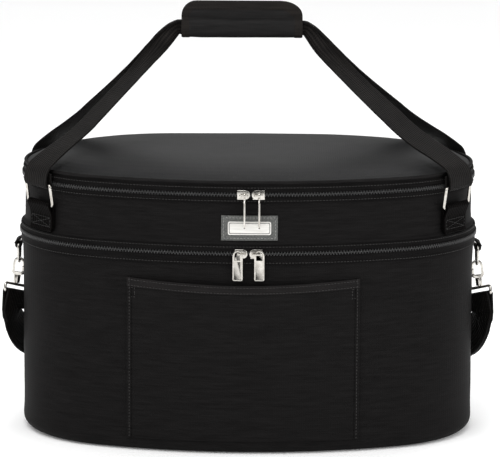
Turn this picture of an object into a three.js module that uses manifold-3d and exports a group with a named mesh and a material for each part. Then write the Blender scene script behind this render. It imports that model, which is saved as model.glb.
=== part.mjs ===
// A padded carrier bag for an oval slow cooker, in millimetres, +Z up.
// The front faces -Y, and the origin is on the floor under the middle of the bag.
// The lower section takes the cooker. The upper section is a flat compartment for
// accessories and is also the lid of the lower one; a padded lid closes it in turn.
import * as THREE from 'three';
import { mergeVertices } from 'three/addons/utils/BufferGeometryUtils.js';
import Module from 'manifold-3d';

const wasm = await Module();
wasm.setup();

// Plan of the bag: an oval of two long arcs and two round ends
const bodyHalfLength = 225;
const bodyHalfDepth = 140;
const endRadius = 118;

// Heights, from the floor up
const lowerHeight = 200;
const upperHeight = 57.5;
const lidHeight = 13;
const footRoll = 12;
const panelLift = 0.4;

// Fabric, padding and gaps
const fabric = 1.0;
const foam = 4.0;
const seat = 0.3;
const boardThickness = 3.0;
const dividerThickness = 4.0;
const upperInset = 2.5;
const flangeHeight = 9;
const flangeSlope = 3;
const pipingRadius = 1.7;
const lidCrown = 16;

// Zippers: a tape on each side, with a bead for its row of elements
const tapeThickness = 1.2;
const beadProud = 1.1;
const beadHeight = 2.4;
const channelHalf = 0.8;
const edgeGap = 5.5;
const lowerTapeHeight = 11;
const upperTapeHeight = 8;

// Sliders and pulls
const sliderLength = 12.5;
const sliderPlate = 1.2;
const sliderHalfHeight = 4.6;
const sliderSpacing = 14.0;
const mainPairX = 0.8;
const topPairX = 2.8;
const sliderFrontGap = 0.4;
const sliderBackGap = 0.6;
const postHalfHeight = 0.45;
const postLength = 4.5;
const bailGap = 2.5;
const bailBar = 1.6;
const bailSpan = 6.8;
const pullThickness = 1.6;
const topPullLength = 32;
const topPullWidth = 7;
const topPullShift = 1;
const mainPullLength = 26;
const mainPullWidth = 9.7;
const pullEye = 3;

// Pocket on the front, label patch and its bare plate
const pocketLeft = -117;
const pocketRight = 109;
const pocketFoot = 13;
const pocketHeight = 160;
const pocketSlack = 5.6;
const hemHeight = 9;
const hemDip = 4;
const patchWidth = 55;
const patchHeight = 24.5;
const patchX = 1.6;
const patchDrop = 33;
const plateWidth = 42;
const plateHeight = 13;

// Handles: webbing, the rings that hold it, and the grip that wraps both handles
const webbingWidth = 38;
const webbing = 1.6;
const ringTurn = 54;
const ringWire = 1.6;
const ringDrop = 22;
const ringSpan = 21;
const ringLean = 3.1;
const loopSlack = 0.4;
const strapTail = 11;
const gripLength = 120;
const gripX = -7.3;
const gripRise = 131;
const gripLeafTop = 26.5;
const gripSheet = 3.2;
const gripCorner = 15;
const gripFarCorner = 22;
const foldedWebbing = 12;
const foldedThickness = 4.4;
const foldedGap = 0.35;
const handleBow = 7;

// Shoulder strap and its metal fittings
const tabTurn = 100;
const tabWidth = 24;
const tabReach = 7;
const tabDrop = 20;
const dRingHalf = 14;
const dRingSide = 6;
const dRingWire = 1.5;
const hookWidth = 12;
const hookOpening = 7;
const hookThickness = 3.4;
const hookDrop = 14;
const hookLean = 8;
const gateWidth = 2.3;
const barrelLength = 8;
const barrelRadius = 3.4;
const stemRadius = 1.4;
const headRadius = 2.2;
const fittingGap = 0.35;
const eyeWire = 1.5;
const eyeHeight = 8;
const eyeTurn = 62;
const eyeTilt = 15;
const strapClearance = 9;
const strapLow = 58;
const adjusterTurn = 166;
const adjusterLength = 26;
const adjusterWall = 2.2;

const deg = Math.PI / 180;
const bag = new THREE.Group();

const cloth = { color: 0x1f1e1e, roughness: 0.85, metalness: 0 };
const lidCloth = { color: 0x4a4a4b, roughness: 0.75, metalness: 0 };
const strapCloth = { color: 0x2e2c2b, roughness: 0.9, metalness: 0 };
const liningCloth = { color: 0x8f9296, roughness: 0.45, metalness: 0.2 };
const foamStuff = { color: 0xd8d8d4, roughness: 0.95, metalness: 0 };
const boardStuff = { color: 0x3a3a3c, roughness: 0.6, metalness: 0 };
const chrome = { color: 0xc9c9cb, roughness: 0.18, metalness: 1 };
const patchLeather = { color: 0x5a5c5c, roughness: 0.65, metalness: 0 };
const plateMetal = { color: 0xe9e9e6, roughness: 0.3, metalness: 0.6 };

// Small tools for building closed solids

function addPiece(name, geometry, finish, parent = bag) {
  const mesh = new THREE.Mesh(geometry, new THREE.MeshStandardMaterial(finish));
  mesh.name = name;
  parent.add(mesh);
  return mesh;
}

function signedVolume(points, triangles) {
  let sum = 0;
  for (const [a, b, c] of triangles) {
    sum += points[a].dot(new THREE.Vector3().crossVectors(points[b], points[c]));
  }
  return sum / 6;
}

// A geometry from points and triangles that close on themselves, turned to face out.
function closedGeometry(points, triangles) {
  const flip = signedVolume(points, triangles) < 0;
  const index = triangles.flatMap(([a, b, c]) => (flip ? [a, c, b] : [a, b, c]));
  const geometry = new THREE.BufferGeometry();
  const numbers = points.flatMap((p) => [p.x, p.y, p.z]);
  geometry.setAttribute('position', new THREE.Float32BufferAttribute(numbers, 3));
  geometry.setIndex(index);
  geometry.computeVertexNormals();
  return geometry;
}

// Joins loops of points, each with as many points, into a skin.
function skinTriangles(loopCount, size, closed) {
  const triangles = [];
  const spans = closed ? loopCount : loopCount - 1;
  for (let i = 0; i < spans; i += 1) {
    const here = i * size;
    const next = ((i + 1) % loopCount) * size;
    for (let j = 0; j < size; j += 1) {
      const k = (j + 1) % size;
      triangles.push([here + j, here + k, next + k], [here + j, next + k, next + j]);
    }
  }
  return triangles;
}

// A skin over loops; open ends are closed by the triangles of a flat section.
function loft(loops, endSection) {
  const size = loops[0].length;
  const triangles = skinTriangles(loops.length, size, !endSection);
  if (endSection) {
    const last = (loops.length - 1) * size;
    const faces = THREE.ShapeUtils.triangulateShape(endSection, []);
    const turned = THREE.ShapeUtils.isClockWise(endSection);
    for (const [a, b, c] of faces) {
      triangles.push(turned ? [a, b, c] : [c, b, a]);
      triangles.push(turned ? [last + c, last + b, last + a] : [last + a, last + b, last + c]);
    }
  }
  return [loops.flat(), triangles];
}

// A sheet with a thickness: at(i, j, side) gives its points, side 0 inside and 1 outside.
function sheetGeometry(columns, rows, at) {
  const loops = [];
  for (let i = 0; i <= columns; i += 1) {
    const outside = [];
    const inside = [];
    for (let j = 0; j <= rows; j += 1) {
      outside.push(at(i / columns, j / rows, 1));
      inside.unshift(at(i / columns, j / rows, 0));
    }
    loops.push([...outside, ...inside]);
  }
  const size = loops[0].length;
  const triangles = skinTriangles(loops.length, size, false);
  const last = columns * size;
  for (let j = 0; j < rows; j += 1) {
    const [a, b, c, d] = [j, j + 1, size - 2 - j, size - 1 - j];
    triangles.push([c, b, a], [d, c, a]);
    triangles.push([last + a, last + b, last + c], [last + a, last + c, last + d]);
  }
  return closedGeometry(loops.flat(), triangles);
}

function toSolid(geometry) {
  const plain = geometry.index ? geometry.toNonIndexed() : geometry.clone();
  plain.deleteAttribute('normal');
  plain.deleteAttribute('uv');
  const merged = mergeVertices(plain, 1e-4);
  return new wasm.Manifold(new wasm.Mesh({
    numProp: 3,
    vertProperties: new Float32Array(merged.attributes.position.array),
    triVerts: new Uint32Array(merged.index.array),
  }));
}

function fromSolid(solid) {
  const mesh = solid.getMesh();
  const geometry = new THREE.BufferGeometry();
  geometry.setAttribute('position', new THREE.Float32BufferAttribute(mesh.vertProperties, 3));
  geometry.setIndex(Array.from(mesh.triVerts));
  geometry.computeVertexNormals();
  return geometry;
}

function joined(geometries) {
  return fromSolid(geometries.map(toSolid).reduce((whole, next) => whole.add(next)));
}

function cut(geometry, tools) {
  return fromSolid(tools.map(toSolid).reduce((left, tool) => left.subtract(tool), toSolid(geometry)));
}

// A box between two corners.
function block(x0, x1, y0, y1, z0, z1) {
  const geometry = new THREE.BoxGeometry(x1 - x0, y1 - y0, z1 - z0);
  return geometry.translate((x0 + x1) / 2, (y0 + y1) / 2, (z0 + z1) / 2);
}

// A wire bent into a closed loop that lies in a plane.
function wireLoop(points, radius, normal, sides = 6) {
  const loops = points.map((point, i) => {
    const before = points[(i + points.length - 1) % points.length];
    const after = points[(i + 1) % points.length];
    const along = after.clone().sub(before).normalize();
    const across = new THREE.Vector3().crossVectors(along, normal);
    return Array.from({ length: sides }, (_, k) => {
      const a = (k + 0.5) * 2 * Math.PI / sides;
      return point.clone().addScaledVector(normal, Math.cos(a) * radius)
        .addScaledVector(across, Math.sin(a) * radius);
    });
  });
  return closedGeometry(...loft(loops));
}

// Flat webbing along stations, each with its middle, width direction, width and thickness.
function ribbonGeometry(stations) {
  const middles = stations.map((s) => s.middle);
  return sheetGeometry(stations.length - 1, 1, (u, v, side) => {
    const i = Math.round(u * (stations.length - 1));
    const s = stations[i];
    const before = middles[Math.max(i - 1, 0)];
    const after = middles[Math.min(i + 1, middles.length - 1)];
    const along = after.clone().sub(before).normalize();
    const across = s.across.clone().addScaledVector(along, -s.across.dot(along)).normalize();
    const face = new THREE.Vector3().crossVectors(along, across);
    return s.middle.clone().addScaledVector(across, (v - 0.5) * s.width)
      .addScaledVector(face, (side - 0.5) * s.thickness);
  });
}

// Plan of the bag

const longRadius = ((bodyHalfLength - endRadius) ** 2 + bodyHalfDepth ** 2 - endRadius ** 2)
  / (2 * (bodyHalfDepth - endRadius));
const arcCentreY = longRadius - bodyHalfDepth;
const arcCentreX = bodyHalfLength - endRadius;
const longHalfTurn = Math.atan2(arcCentreX, arcCentreY) / deg;
const longSteps = 12;
const endSteps = 12;
const backSteps = 8;
const hingeSteps = 4;

// A point of the oval, found by the direction it faces: 0 is the front, 90 the right end.
function planPoint(turn, inset) {
  const near = Math.abs(((turn + 540) % 360) - 180);
  const side = Math.sign(Math.sin(turn * deg));
  let centre = new THREE.Vector2(side * arcCentreX, 0);
  let radius = endRadius;
  if (near <= longHalfTurn + 1e-9) {
    centre = new THREE.Vector2(0, arcCentreY);
    radius = longRadius;
  } else if (near >= 180 - longHalfTurn - 1e-9) {
    centre = new THREE.Vector2(0, -arcCentreY);
    radius = longRadius;
  }
  const out = new THREE.Vector2(Math.sin(turn * deg), -Math.cos(turn * deg));
  return centre.addScaledVector(out, radius - inset);
}

function evenSteps(from, to, count) {
  return Array.from({ length: count }, (_, i) => from + (to - from) * i / count);
}

// Directions round the whole oval, from the middle of the back, by the left end and the front.
const backTurn = 180 - longHalfTurn;
const roundTurns = [
  ...evenSteps(-180, -backTurn, backSteps / 2),
  ...evenSteps(-backTurn, -longHalfTurn, endSteps),
  ...evenSteps(-longHalfTurn, longHalfTurn, longSteps),
  ...evenSteps(longHalfTurn, backTurn, endSteps),
  ...evenSteps(backTurn, 180, backSteps / 2),
];
const zipTurns = roundTurns.slice(hingeSteps / 2, roundTurns.length - hingeSteps / 2 + 1);
const hingeTurn = zipTurns[zipTurns.length - 1];

function wallPoint(turn, inset, z) {
  const p = planPoint(turn, inset);
  return new THREE.Vector3(p.x, p.y, z);
}

// A section of [inset, z] corners carried round the whole oval.
function ringGeometry(section) {
  const loops = roundTurns.map((turn) => section.map(([inset, z]) => wallPoint(turn, inset, z)));
  return closedGeometry(...loft(loops));
}

// The same round a part of the oval.
function stripGeometry(section, turns) {
  const loops = turns.map((turn) => section.map(([inset, z]) => wallPoint(turn, inset, z)));
  return closedGeometry(...loft(loops, section.map(([inset, z]) => new THREE.Vector2(inset, z))));
}

// A solid that follows the oval over its whole plan: a plate, or a cup when it turns inwards.
function plateGeometry(levels) {
  const loops = levels.map(([inset, z]) => roundTurns.map((turn) => wallPoint(turn, inset, z)));
  const plan = roundTurns.map((turn) => planPoint(turn, 0));
  return closedGeometry(...loft(loops, plan));
}

function bandSection(inset, thickness, z0, z1) {
  return [[inset, z0], [inset + thickness, z0], [inset + thickness, z1], [inset, z1]];
}

// A frame on the wall: x along it to the right, -y straight out, z up.
function wallGroup(turn, inset, z) {
  const group = new THREE.Group();
  group.position.copy(wallPoint(turn, inset, z));
  group.rotation.z = turn * deg;
  bag.add(group);
  return group;
}

// Heights worked out from the sizes above
const mainZip = lowerHeight;
const topZip = mainZip + upperHeight;
const lidTop = topZip + lidHeight;
const foamInset = fabric + seat;
const liningInset = foamInset + foam + seat;

// Lower section: shell with a rolled foot, padding, lining, board and bottom panel

function rollArc(radius, inset, base, steps = 3) {
  return Array.from({ length: steps + 1 }, (_, i) => {
    const a = i * Math.PI / 2 / steps;
    return [inset + footRoll - radius * Math.sin(a), base + footRoll - radius * Math.cos(a)];
  });
}

const shellTop = mainZip - edgeGap;
const outerRoll = rollArc(footRoll, 0, panelLift);
const innerRoll = rollArc(footRoll - fabric, 0, panelLift);
addPiece('lower_shell', ringGeometry([
  ...outerRoll, [0, shellTop], [fabric, shellTop], ...innerRoll.reverse(),
]), cloth);

const bottomThickness = fabric + panelLift;
addPiece('bottom_panel', plateGeometry([
  [footRoll + seat, 0], [footRoll + seat, bottomThickness],
]), cloth);

const boardBase = bottomThickness + seat;
const boardTop = boardBase + boardThickness;
addPiece('base_board', plateGeometry([
  [footRoll + seat, boardBase], [footRoll + seat, boardTop],
]), boardStuff);

const foamFoot = panelLift + footRoll;
addPiece('lower_foam', ringGeometry(bandSection(foamInset, foam, foamFoot, shellTop)), foamStuff);

const liningFloor = boardTop + seat;
const liningFoot = liningFloor + footRoll / 2;
const liningEdge = liningInset + footRoll / 2;
addPiece('lower_lining', plateGeometry([
  [liningEdge, liningFloor], [liningInset, liningFoot], [liningInset, shellTop],
  [liningInset + fabric, shellTop], [liningInset + fabric, liningFoot],
  [liningEdge + fabric, liningFloor + fabric],
]), liningCloth);

// Zippers

// One side of a zipper: up is 1 for the side above the sliders and -1 for the side below.
function zipSection(inset, z, up, height) {
  const back = inset - seat;
  const face = back - tapeThickness;
  const start = z + up * channelHalf;
  const beadEnd = start + up * beadHeight;
  return [
    [back, start], [face - beadProud, start], [face - beadProud, beadEnd],
    [face, beadEnd], [face, z + up * height], [back, z + up * height],
  ];
}

addPiece('main_zip_lower_tape', stripGeometry(zipSection(0, mainZip, -1, lowerTapeHeight), zipTurns), cloth);
addPiece('main_zip_upper_tape', stripGeometry(zipSection(0, mainZip, 1, upperTapeHeight), zipTurns), cloth);
addPiece('top_zip_lower_tape',
  stripGeometry(zipSection(upperInset, topZip, -1, upperTapeHeight), zipTurns), cloth);
addPiece('top_zip_upper_tape',
  stripGeometry(zipSection(upperInset, topZip, 1, upperTapeHeight), zipTurns), cloth);

// Cloth hinges across the back, where the zippers stop; each has a flap on either side of its fold
const flapTurns = [hingeTurn + 1, ...roundTurns.slice(-hingeSteps / 2 + 1), 180,
  ...roundTurns.slice(1, hingeSteps / 2).map((turn) => turn + 360), 359 - hingeTurn];

function hingeFlap(name, inset, z, up, height) {
  const band = bandSection(inset - seat - tapeThickness, tapeThickness, z + up * seat, z + up * height);
  addPiece(name, stripGeometry(band, flapTurns), cloth);
}

hingeFlap('main_hinge_lower_flap', 0, mainZip, -1, lowerTapeHeight);
hingeFlap('main_hinge_upper_flap', 0, mainZip, 1, upperTapeHeight);
hingeFlap('lid_hinge_lower_flap', upperInset, topZip, -1, upperTapeHeight);
hingeFlap('lid_hinge_upper_flap', upperInset, topZip, 1, upperTapeHeight);

// Upper section: shell with a flange over the zipper, padding, lining and the padded divider

const upperFoot = mainZip + edgeGap;
const upperTop = topZip - edgeGap;
const flangeTop = mainZip + flangeHeight;
addPiece('upper_shell', ringGeometry([
  [0, upperFoot], [fabric, upperFoot], [fabric, flangeTop],
  [upperInset + fabric, flangeTop + flangeSlope], [upperInset + fabric, upperTop],
  [upperInset, upperTop], [upperInset, flangeTop + flangeSlope], [0, flangeTop],
]), cloth);

const dividerInset = fabric + seat;
const underside = upperFoot;
const dividerBase = underside + fabric + seat;
const dividerTop = dividerBase + dividerThickness;
const dividerEdge = upperInset + fabric + seat;
addPiece('divider_underside', plateGeometry([
  [dividerInset, underside], [dividerInset, underside + fabric],
]), liningCloth);
addPiece('divider_foam', plateGeometry([
  [dividerEdge, dividerBase], [dividerEdge, dividerTop],
]), foamStuff);

const upperFloor = dividerTop + seat;
const upperFoamInset = upperInset + foamInset;
const upperLiningInset = upperInset + liningInset;
addPiece('upper_foam', ringGeometry(bandSection(upperFoamInset, foam, upperFloor, upperTop)), foamStuff);
addPiece('upper_lining', plateGeometry([
  [upperLiningInset, upperFloor], [upperLiningInset, upperTop],
  [upperLiningInset + fabric, upperTop], [upperLiningInset + fabric, upperFloor + fabric],
]), liningCloth);

// Lid: side band, padded top and its piping

const lidFoot = topZip + edgeGap;
const pipingZ = lidTop - pipingRadius;
const lidFace = pipingZ + fabric / 2;
const bandTop = pipingZ - pipingRadius;
addPiece('lid_band', ringGeometry(bandSection(upperInset, fabric, lidFoot, bandTop)), cloth);

const pipingInset = upperInset + pipingRadius - fabric;
addPiece('lid_piping', ringGeometry(Array.from({ length: 6 }, (_, k) => {
  const a = k * Math.PI / 3;
  return [pipingInset + pipingRadius * Math.cos(a), pipingZ + pipingRadius * Math.sin(a)];
})), cloth);

const lidEdge = pipingInset + pipingRadius + seat;
// The padded top stands up in a dome: shares of its height at distances in from its edge.
const domeSteps = [[24, 0.5], [60, 0.87], [100, 1]];

function domeLoops(z) {
  return domeSteps.map(([inset, share]) => [lidEdge + inset, z + lidCrown * share]);
}

const lidUnder = lidFace - fabric;
addPiece('lid_top', plateGeometry([
  ...domeLoops(lidUnder).reverse(), [lidEdge, lidUnder], [lidEdge, lidFace], ...domeLoops(lidFace),
]), lidCloth);

const lidFoamTop = lidFace - fabric - seat;
const lidFoamBase = lidFoot + fabric + seat;
const lidInner = upperInset + fabric + seat;
addPiece('lid_foam', plateGeometry([
  [lidInner, lidFoamBase], [lidInner, bandTop - seat], [lidEdge, lidFoamTop], ...domeLoops(lidFoamTop),
]), foamStuff);
addPiece('lid_lining', plateGeometry([
  [lidInner, lidFoot], [lidInner, lidFoot + fabric],
]), liningCloth);

// Pocket, label patch and plate: sheets that follow the curved front

function frontTurn(x) {
  return Math.asin(x / longRadius) / deg;
}

const pocketTop = pocketFoot + pocketHeight;

function pocketSwell(u, v) {
  return pocketSlack * Math.sin(Math.PI * u) * Math.sin(Math.PI / 2 * v);
}

function pocketX(u) {
  return pocketLeft + (pocketRight - pocketLeft) * u;
}

function pocketEdge(u) {
  return pocketTop - hemDip * Math.sin(Math.PI * u);
}

addPiece('pocket_panel', sheetGeometry(12, 4, (u, v, side) => wallPoint(
  frontTurn(pocketX(u)),
  -seat - pocketSwell(u, v) - side * fabric,
  pocketFoot + (pocketEdge(u) - pocketFoot) * v,
)), cloth);
addPiece('pocket_hem', sheetGeometry(12, 1, (u, v, side) => wallPoint(
  frontTurn(pocketX(u)),
  -seat - pocketSwell(u, 1) - fabric - seat - side * fabric,
  pocketEdge(u) - hemHeight * (1 - v),
)), cloth);

function wallPatch(name, width, height, z, lift, thickness, finish) {
  addPiece(name, sheetGeometry(6, 1, (u, v, side) => wallPoint(
    frontTurn(patchX + width * (u - 0.5)),
    upperInset - lift - side * thickness,
    z + height * (v - 0.5),
  )), finish);
}

const patchZ = topZip - patchDrop;
wallPatch('label_patch', patchWidth, patchHeight, patchZ, seat, fabric, patchLeather);
wallPatch('label_plate', plateWidth, plateHeight, patchZ, seat + fabric + seat, fabric, plateMetal);

// Sliders and pulls

// A shape drawn in x and z, from one distance off the wall to another.
function upright(shape, near, far, curveSegments = 4) {
  const options = { depth: far - near, bevelEnabled: false, curveSegments };
  return new THREE.ExtrudeGeometry(shape, options).rotateX(Math.PI / 2).translate(0, -near, 0);
}

// A shape drawn in y and z, from one x to another.
function edgewise(shape, x0, x1, curveSegments = 4) {
  const options = { depth: x1 - x0, bevelEnabled: false, curveSegments };
  const turn = new THREE.Matrix4().makeBasis(
    new THREE.Vector3(0, 1, 0), new THREE.Vector3(0, 0, 1), new THREE.Vector3(1, 0, 0),
  );
  return new THREE.ExtrudeGeometry(shape, options).applyMatrix4(turn).translate(x0, 0, 0);
}

function outline(corners) {
  return new THREE.Shape(corners.map(([x, y]) => new THREE.Vector2(x, y)));
}

const tapeBack = seat;
const beadFace = seat + tapeThickness + beadProud;
const plateNear = beadFace + sliderFrontGap;
const plateFar = plateNear + sliderPlate;
const backNear = tapeBack - sliderBackGap - sliderPlate;
const barNear = plateFar + bailGap;
const barFar = barNear + bailBar;
const barMiddle = (barNear + barFar) / 2;

// The inner end of a slider is round and its outer end square; inward is the way to the other slider.
function sliderShape(inward, halfHeight) {
  const half = sliderLength / 2;
  const shape = new THREE.Shape();
  shape.moveTo(-inward * half, -halfHeight);
  shape.lineTo(inward * (half - halfHeight), -halfHeight);
  shape.absarc(inward * (half - halfHeight), 0, halfHeight, -Math.PI / 2, Math.PI / 2, inward < 0);
  shape.lineTo(-inward * half, halfHeight);
  return shape;
}

function bailGeometry() {
  const outer = (bailSpan + bailBar) / 2;
  const inner = (bailSpan - bailBar) / 2;
  const bevel = bailBar / 2;
  const root = -plateFar + sliderPlate / 2;
  const shape = outline([
    [-outer, root], [-outer, -barFar + bevel], [-outer + bevel, -barFar], [outer - bevel, -barFar],
    [outer, -barFar + bevel], [outer, root], [inner, root], [inner, -barNear],
    [-inner, -barNear], [-inner, root],
  ]);
  const options = { depth: bailBar, bevelEnabled: false };
  return new THREE.ExtrudeGeometry(shape, options).translate(0, 0, -bailBar / 2);
}

// The front lip folds in over the lower tape; the top stays open, so the upper side lifts out.
function sliderGeometry(inward) {
  const half = sliderLength / 2;
  const lipTop = -(channelHalf + beadHeight + sliderFrontGap);
  const lipNear = seat + tapeThickness + sliderFrontGap;
  return joined([
    upright(sliderShape(inward, sliderHalfHeight), plateNear, plateFar),
    upright(sliderShape(inward, sliderHalfHeight), backNear, backNear + sliderPlate),
    block(-postLength / 2, postLength / 2, -plateNear - sliderPlate / 2, -backNear - sliderPlate / 2,
      -postHalfHeight, postHalfHeight),
    block(-half + 1, half - sliderHalfHeight, -plateFar + sliderPlate / 2, -lipNear,
      -sliderHalfHeight, lipTop),
    bailGeometry(),
  ]);
}

// Upper pulls hang edge-on: the bar of the bail goes through their eye.
function topPullGeometry() {
  const half = topPullWidth / 2;
  const neck = half * 0.4;
  const eye = new THREE.CylinderGeometry(pullEye, pullEye, pullThickness, 12).rotateZ(Math.PI / 2);
  const hole = new THREE.CylinderGeometry(pullEye / 2, pullEye / 2, pullThickness * 2, 8);
  hole.rotateZ(Math.PI / 2);
  const blade = outline([
    [-neck, -pullEye * 0.8], [-neck, -pullEye - 2], [-half, -pullEye - 4],
    [-half, -topPullLength + 1], [-half + 1, -topPullLength], [half - 1, -topPullLength],
    [half, -topPullLength + 1], [half, -pullEye - 4], [neck, -pullEye - 2], [neck, -pullEye * 0.8],
  ]);
  return cut(joined([eye, edgewise(blade, -pullThickness / 2, pullThickness / 2)]), [hole]);
}

// Lower pulls lie flat: their tall eye stands round the outer post of the bail.
function mainPullGeometry() {
  const half = mainPullWidth / 2;
  const eyeHalf = half - 1.8;
  const eyeTop = bailBar / 2 + 0.6;
  const centre = eyeTop - eyeHalf;
  const shape = new THREE.Shape();
  shape.moveTo(-half, -mainPullLength + 1);
  shape.lineTo(-half + 1, -mainPullLength);
  shape.lineTo(half - 1, -mainPullLength);
  shape.lineTo(half, -mainPullLength + 1);
  shape.absarc(0, centre, half, 0, Math.PI, false);
  const eye = new THREE.Path();
  eye.moveTo(-eyeHalf, -2 * eyeHalf);
  eye.lineTo(eyeHalf, -2 * eyeHalf);
  eye.absarc(0, centre, eyeHalf, 0, Math.PI, false);
  shape.holes.push(eye);
  const near = plateFar + (bailGap - pullThickness) / 2;
  return upright(shape, near, near + pullThickness);
}

function addSliders(level, inset, z, pairX, addPull) {
  for (const [word, side] of [['left', -1], ['right', 1]]) {
    const group = wallGroup(frontTurn(pairX + side * sliderSpacing / 2), inset, z);
    addPiece(`${level}_slider_${word}`, sliderGeometry(-side), chrome, group);
    addPull(word, side, group);
  }
}

addSliders('top', upperInset, topZip, topPairX, (word, side, group) => {
  const pull = addPiece(`top_pull_${word}`, topPullGeometry(), chrome, group);
  pull.position.set(topPullShift, -barMiddle, 0);
});
addSliders('main', 0, mainZip, mainPairX, (word, side, group) => {
  const pull = addPiece(`main_pull_${word}`, mainPullGeometry(), chrome, group);
  pull.position.set(side * bailSpan / 2, 0, 0);
});

// Rings of the handles, in their webbing anchors

const loopRadius = ringWire + loopSlack + webbing / 2;
const lowerBarOut = seat + webbing / 2 + loopRadius;
const lowerBarZ = topZip - ringDrop;
const upperBarOut = lowerBarOut + ringLean;
const upperBarZ = lowerBarZ + ringSpan;
const ringHalf = webbingWidth / 2 + 0.8 + ringWire;

// Points round a rectangle with round corners, as [across, up] pairs about its middle.
function roundedRectangle(halfWidth, halfHeight, radius) {
  const corners = [[1, 1, 0], [-1, 1, 90], [-1, -1, 180], [1, -1, 270]];
  return corners.flatMap(([sx, sy, start]) => [0, 30, 60, 90].map((step) => {
    const a = (start + step) * deg;
    const across = sx * (halfWidth - radius) + radius * Math.cos(a);
    return [across, sy * (halfHeight - radius) + radius * Math.sin(a)];
  }));
}

function ringLoopGeometry() {
  const lean = new THREE.Vector3(0, -ringLean, ringSpan);
  const up = lean.clone().normalize();
  const middle = new THREE.Vector3(0, -lowerBarOut, lowerBarZ).addScaledVector(lean, 0.5);
  const points = roundedRectangle(ringHalf, lean.length() / 2, 3).map(([x, h]) => (
    new THREE.Vector3(x, 0, 0).add(middle).addScaledVector(up, h)));
  return wireLoop(points, ringWire, new THREE.Vector3(1, 0, 0).cross(up));
}

// Points on an arc round a bar, in y and z.
function roundBar(y, z, radius, from, to, steps = 5) {
  return Array.from({ length: steps + 1 }, (_, i) => {
    const a = (from + (to - from) * i / steps) * deg;
    return [y + radius * Math.cos(a), z + radius * Math.sin(a)];
  });
}

function anchorGeometry() {
  const foot = flangeTop + flangeSlope + seat;
  const inner = -seat - webbing / 2;
  const outer = inner - webbing - seat;
  const path = [
    [inner, foot],
    ...roundBar(-lowerBarOut, lowerBarZ, loopRadius, 0, 180),
    [(outer - lowerBarOut - loopRadius) / 2, lowerBarZ - 5], [outer, lowerBarZ - 10], [outer, foot],
  ];
  return ribbonGeometry(path.map(([y, z]) => ({
    middle: new THREE.Vector3(0, y, z),
    across: new THREE.Vector3(1, 0, 0),
    width: webbingWidth,
    thickness: webbing,
  })));
}

const cornerTurns = {
  front_left: -ringTurn, front_right: ringTurn, back_left: ringTurn - 180, back_right: 180 - ringTurn,
};
for (const [corner, turn] of Object.entries(cornerTurns)) {
  const group = wallGroup(turn, upperInset, 0);
  addPiece(`${corner}_anchor`, anchorGeometry(), strapCloth, group);
  addPiece(`${corner}_ring`, ringLoopGeometry(), chrome, group);
}

// Handles: each is one webbing from ring to ring, folded lengthwise where the grip holds it

const gripZ = lidTop + gripRise;
const foldY = -foldedThickness / 2 - foldedGap;

// The left half of the front handle, from its sewn tail round the ring up to the grip.
function handleHalf(side) {
  const turn = side * ringTurn;
  const along = new THREE.Vector3(Math.cos(turn * deg), Math.sin(turn * deg), 0).multiplyScalar(-side);
  const inner = -upperBarOut + loopRadius;
  const outer = -upperBarOut - loopRadius;
  const rim = [
    [inner, upperBarZ + strapTail],
    ...roundBar(-upperBarOut, upperBarZ, loopRadius, 0, -180),
    [outer, upperBarZ + 4], [outer + 0.6, upperBarZ + 9],
    [outer + 2.8, upperBarZ + 14], [outer + 6.6, upperBarZ + 18.5],
  ].map(([y, z]) => ({
    middle: wallPoint(turn, upperInset + y, z), across: along, width: webbingWidth, thickness: webbing,
  }));
  const start = rim[rim.length - 1].middle;
  const gripEnd = new THREE.Vector3(gripX + side * (gripLength / 2 + 10), foldY - 1.1, gripZ - 3);
  const flat = new THREE.Vector3(0, 0, -1);
  const sideways = new THREE.Vector3(-side, 0, -1).normalize();
  const run = [0.1, 0.2, 0.3, 0.4, 0.5, 0.6, 0.7, 0.8, 0.87, 0.94].map((f) => ({
    middle: start.clone().lerp(gripEnd, f).addScaledVector(sideways, handleBow * Math.sin(Math.PI * f) ** 2),
    across: along.clone().lerp(flat, 0.6 * f ** 3).normalize(),
    width: webbingWidth + (foldedWebbing - webbingWidth) * f ** 5,
    thickness: webbing + (foldedThickness - webbing) * f ** 5,
  }));
  const held = [[5, 0.25, 0.2], [-3, 0, 0]].map(([out, off, drop]) => ({
    middle: new THREE.Vector3(gripX + side * (gripLength / 2 + out), foldY - off, gripZ - drop),
    across: flat,
    width: foldedWebbing,
    thickness: foldedThickness,
  }));
  return [...rim, ...run, ...held];
}

const frontStations = [...handleHalf(-1), ...handleHalf(1).reverse()];
const backStations = frontStations.map((s) => ({
  ...s,
  middle: s.middle.clone().multiply(new THREE.Vector3(1, -1, 1)),
  across: s.across.clone().multiply(new THREE.Vector3(1, -1, 1)),
}));
addPiece('front_handle_strap', ribbonGeometry(frontStations), strapCloth);
addPiece('back_handle_strap', ribbonGeometry(backStations), strapCloth);

// Grip: a padded sheet that goes under both handles, with a leaf on either side of them
const hollowY = foldedThickness + foldedGap + seat;
const hollowZ = foldedWebbing / 2 + seat;
const rollY = hollowY + gripSheet;
const rollZ = hollowZ + gripSheet;
const leafFar = gripSheet + seat / 2;
const seamZ = hollowZ - 2;

// The leaf side of the grip's section, for the front at -1 and the back at 1.
function leafProfile(side) {
  return [
    [side * seat / 2, hollowZ + 2], [side * seat / 2, gripLeafTop], [side * leafFar, gripLeafTop],
    [side * leafFar, rollZ + 1.5], [side * (rollY - 1.6), rollZ - 0.5], [side * rollY, hollowZ - 1],
  ];
}

function gripOutline() {
  const half = gripLength / 2;
  const shape = new THREE.Shape();
  shape.moveTo(-half, -rollZ - 1);
  shape.lineTo(half, -rollZ - 1);
  shape.absellipse(half - gripFarCorner, gripLeafTop - gripCorner, gripFarCorner, gripCorner, 0, Math.PI / 2);
  shape.lineTo(-half + gripCorner, gripLeafTop);
  shape.absarc(-half + gripCorner, gripLeafTop - gripCorner, gripCorner, Math.PI / 2, Math.PI, false);
  return shape;
}

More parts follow.
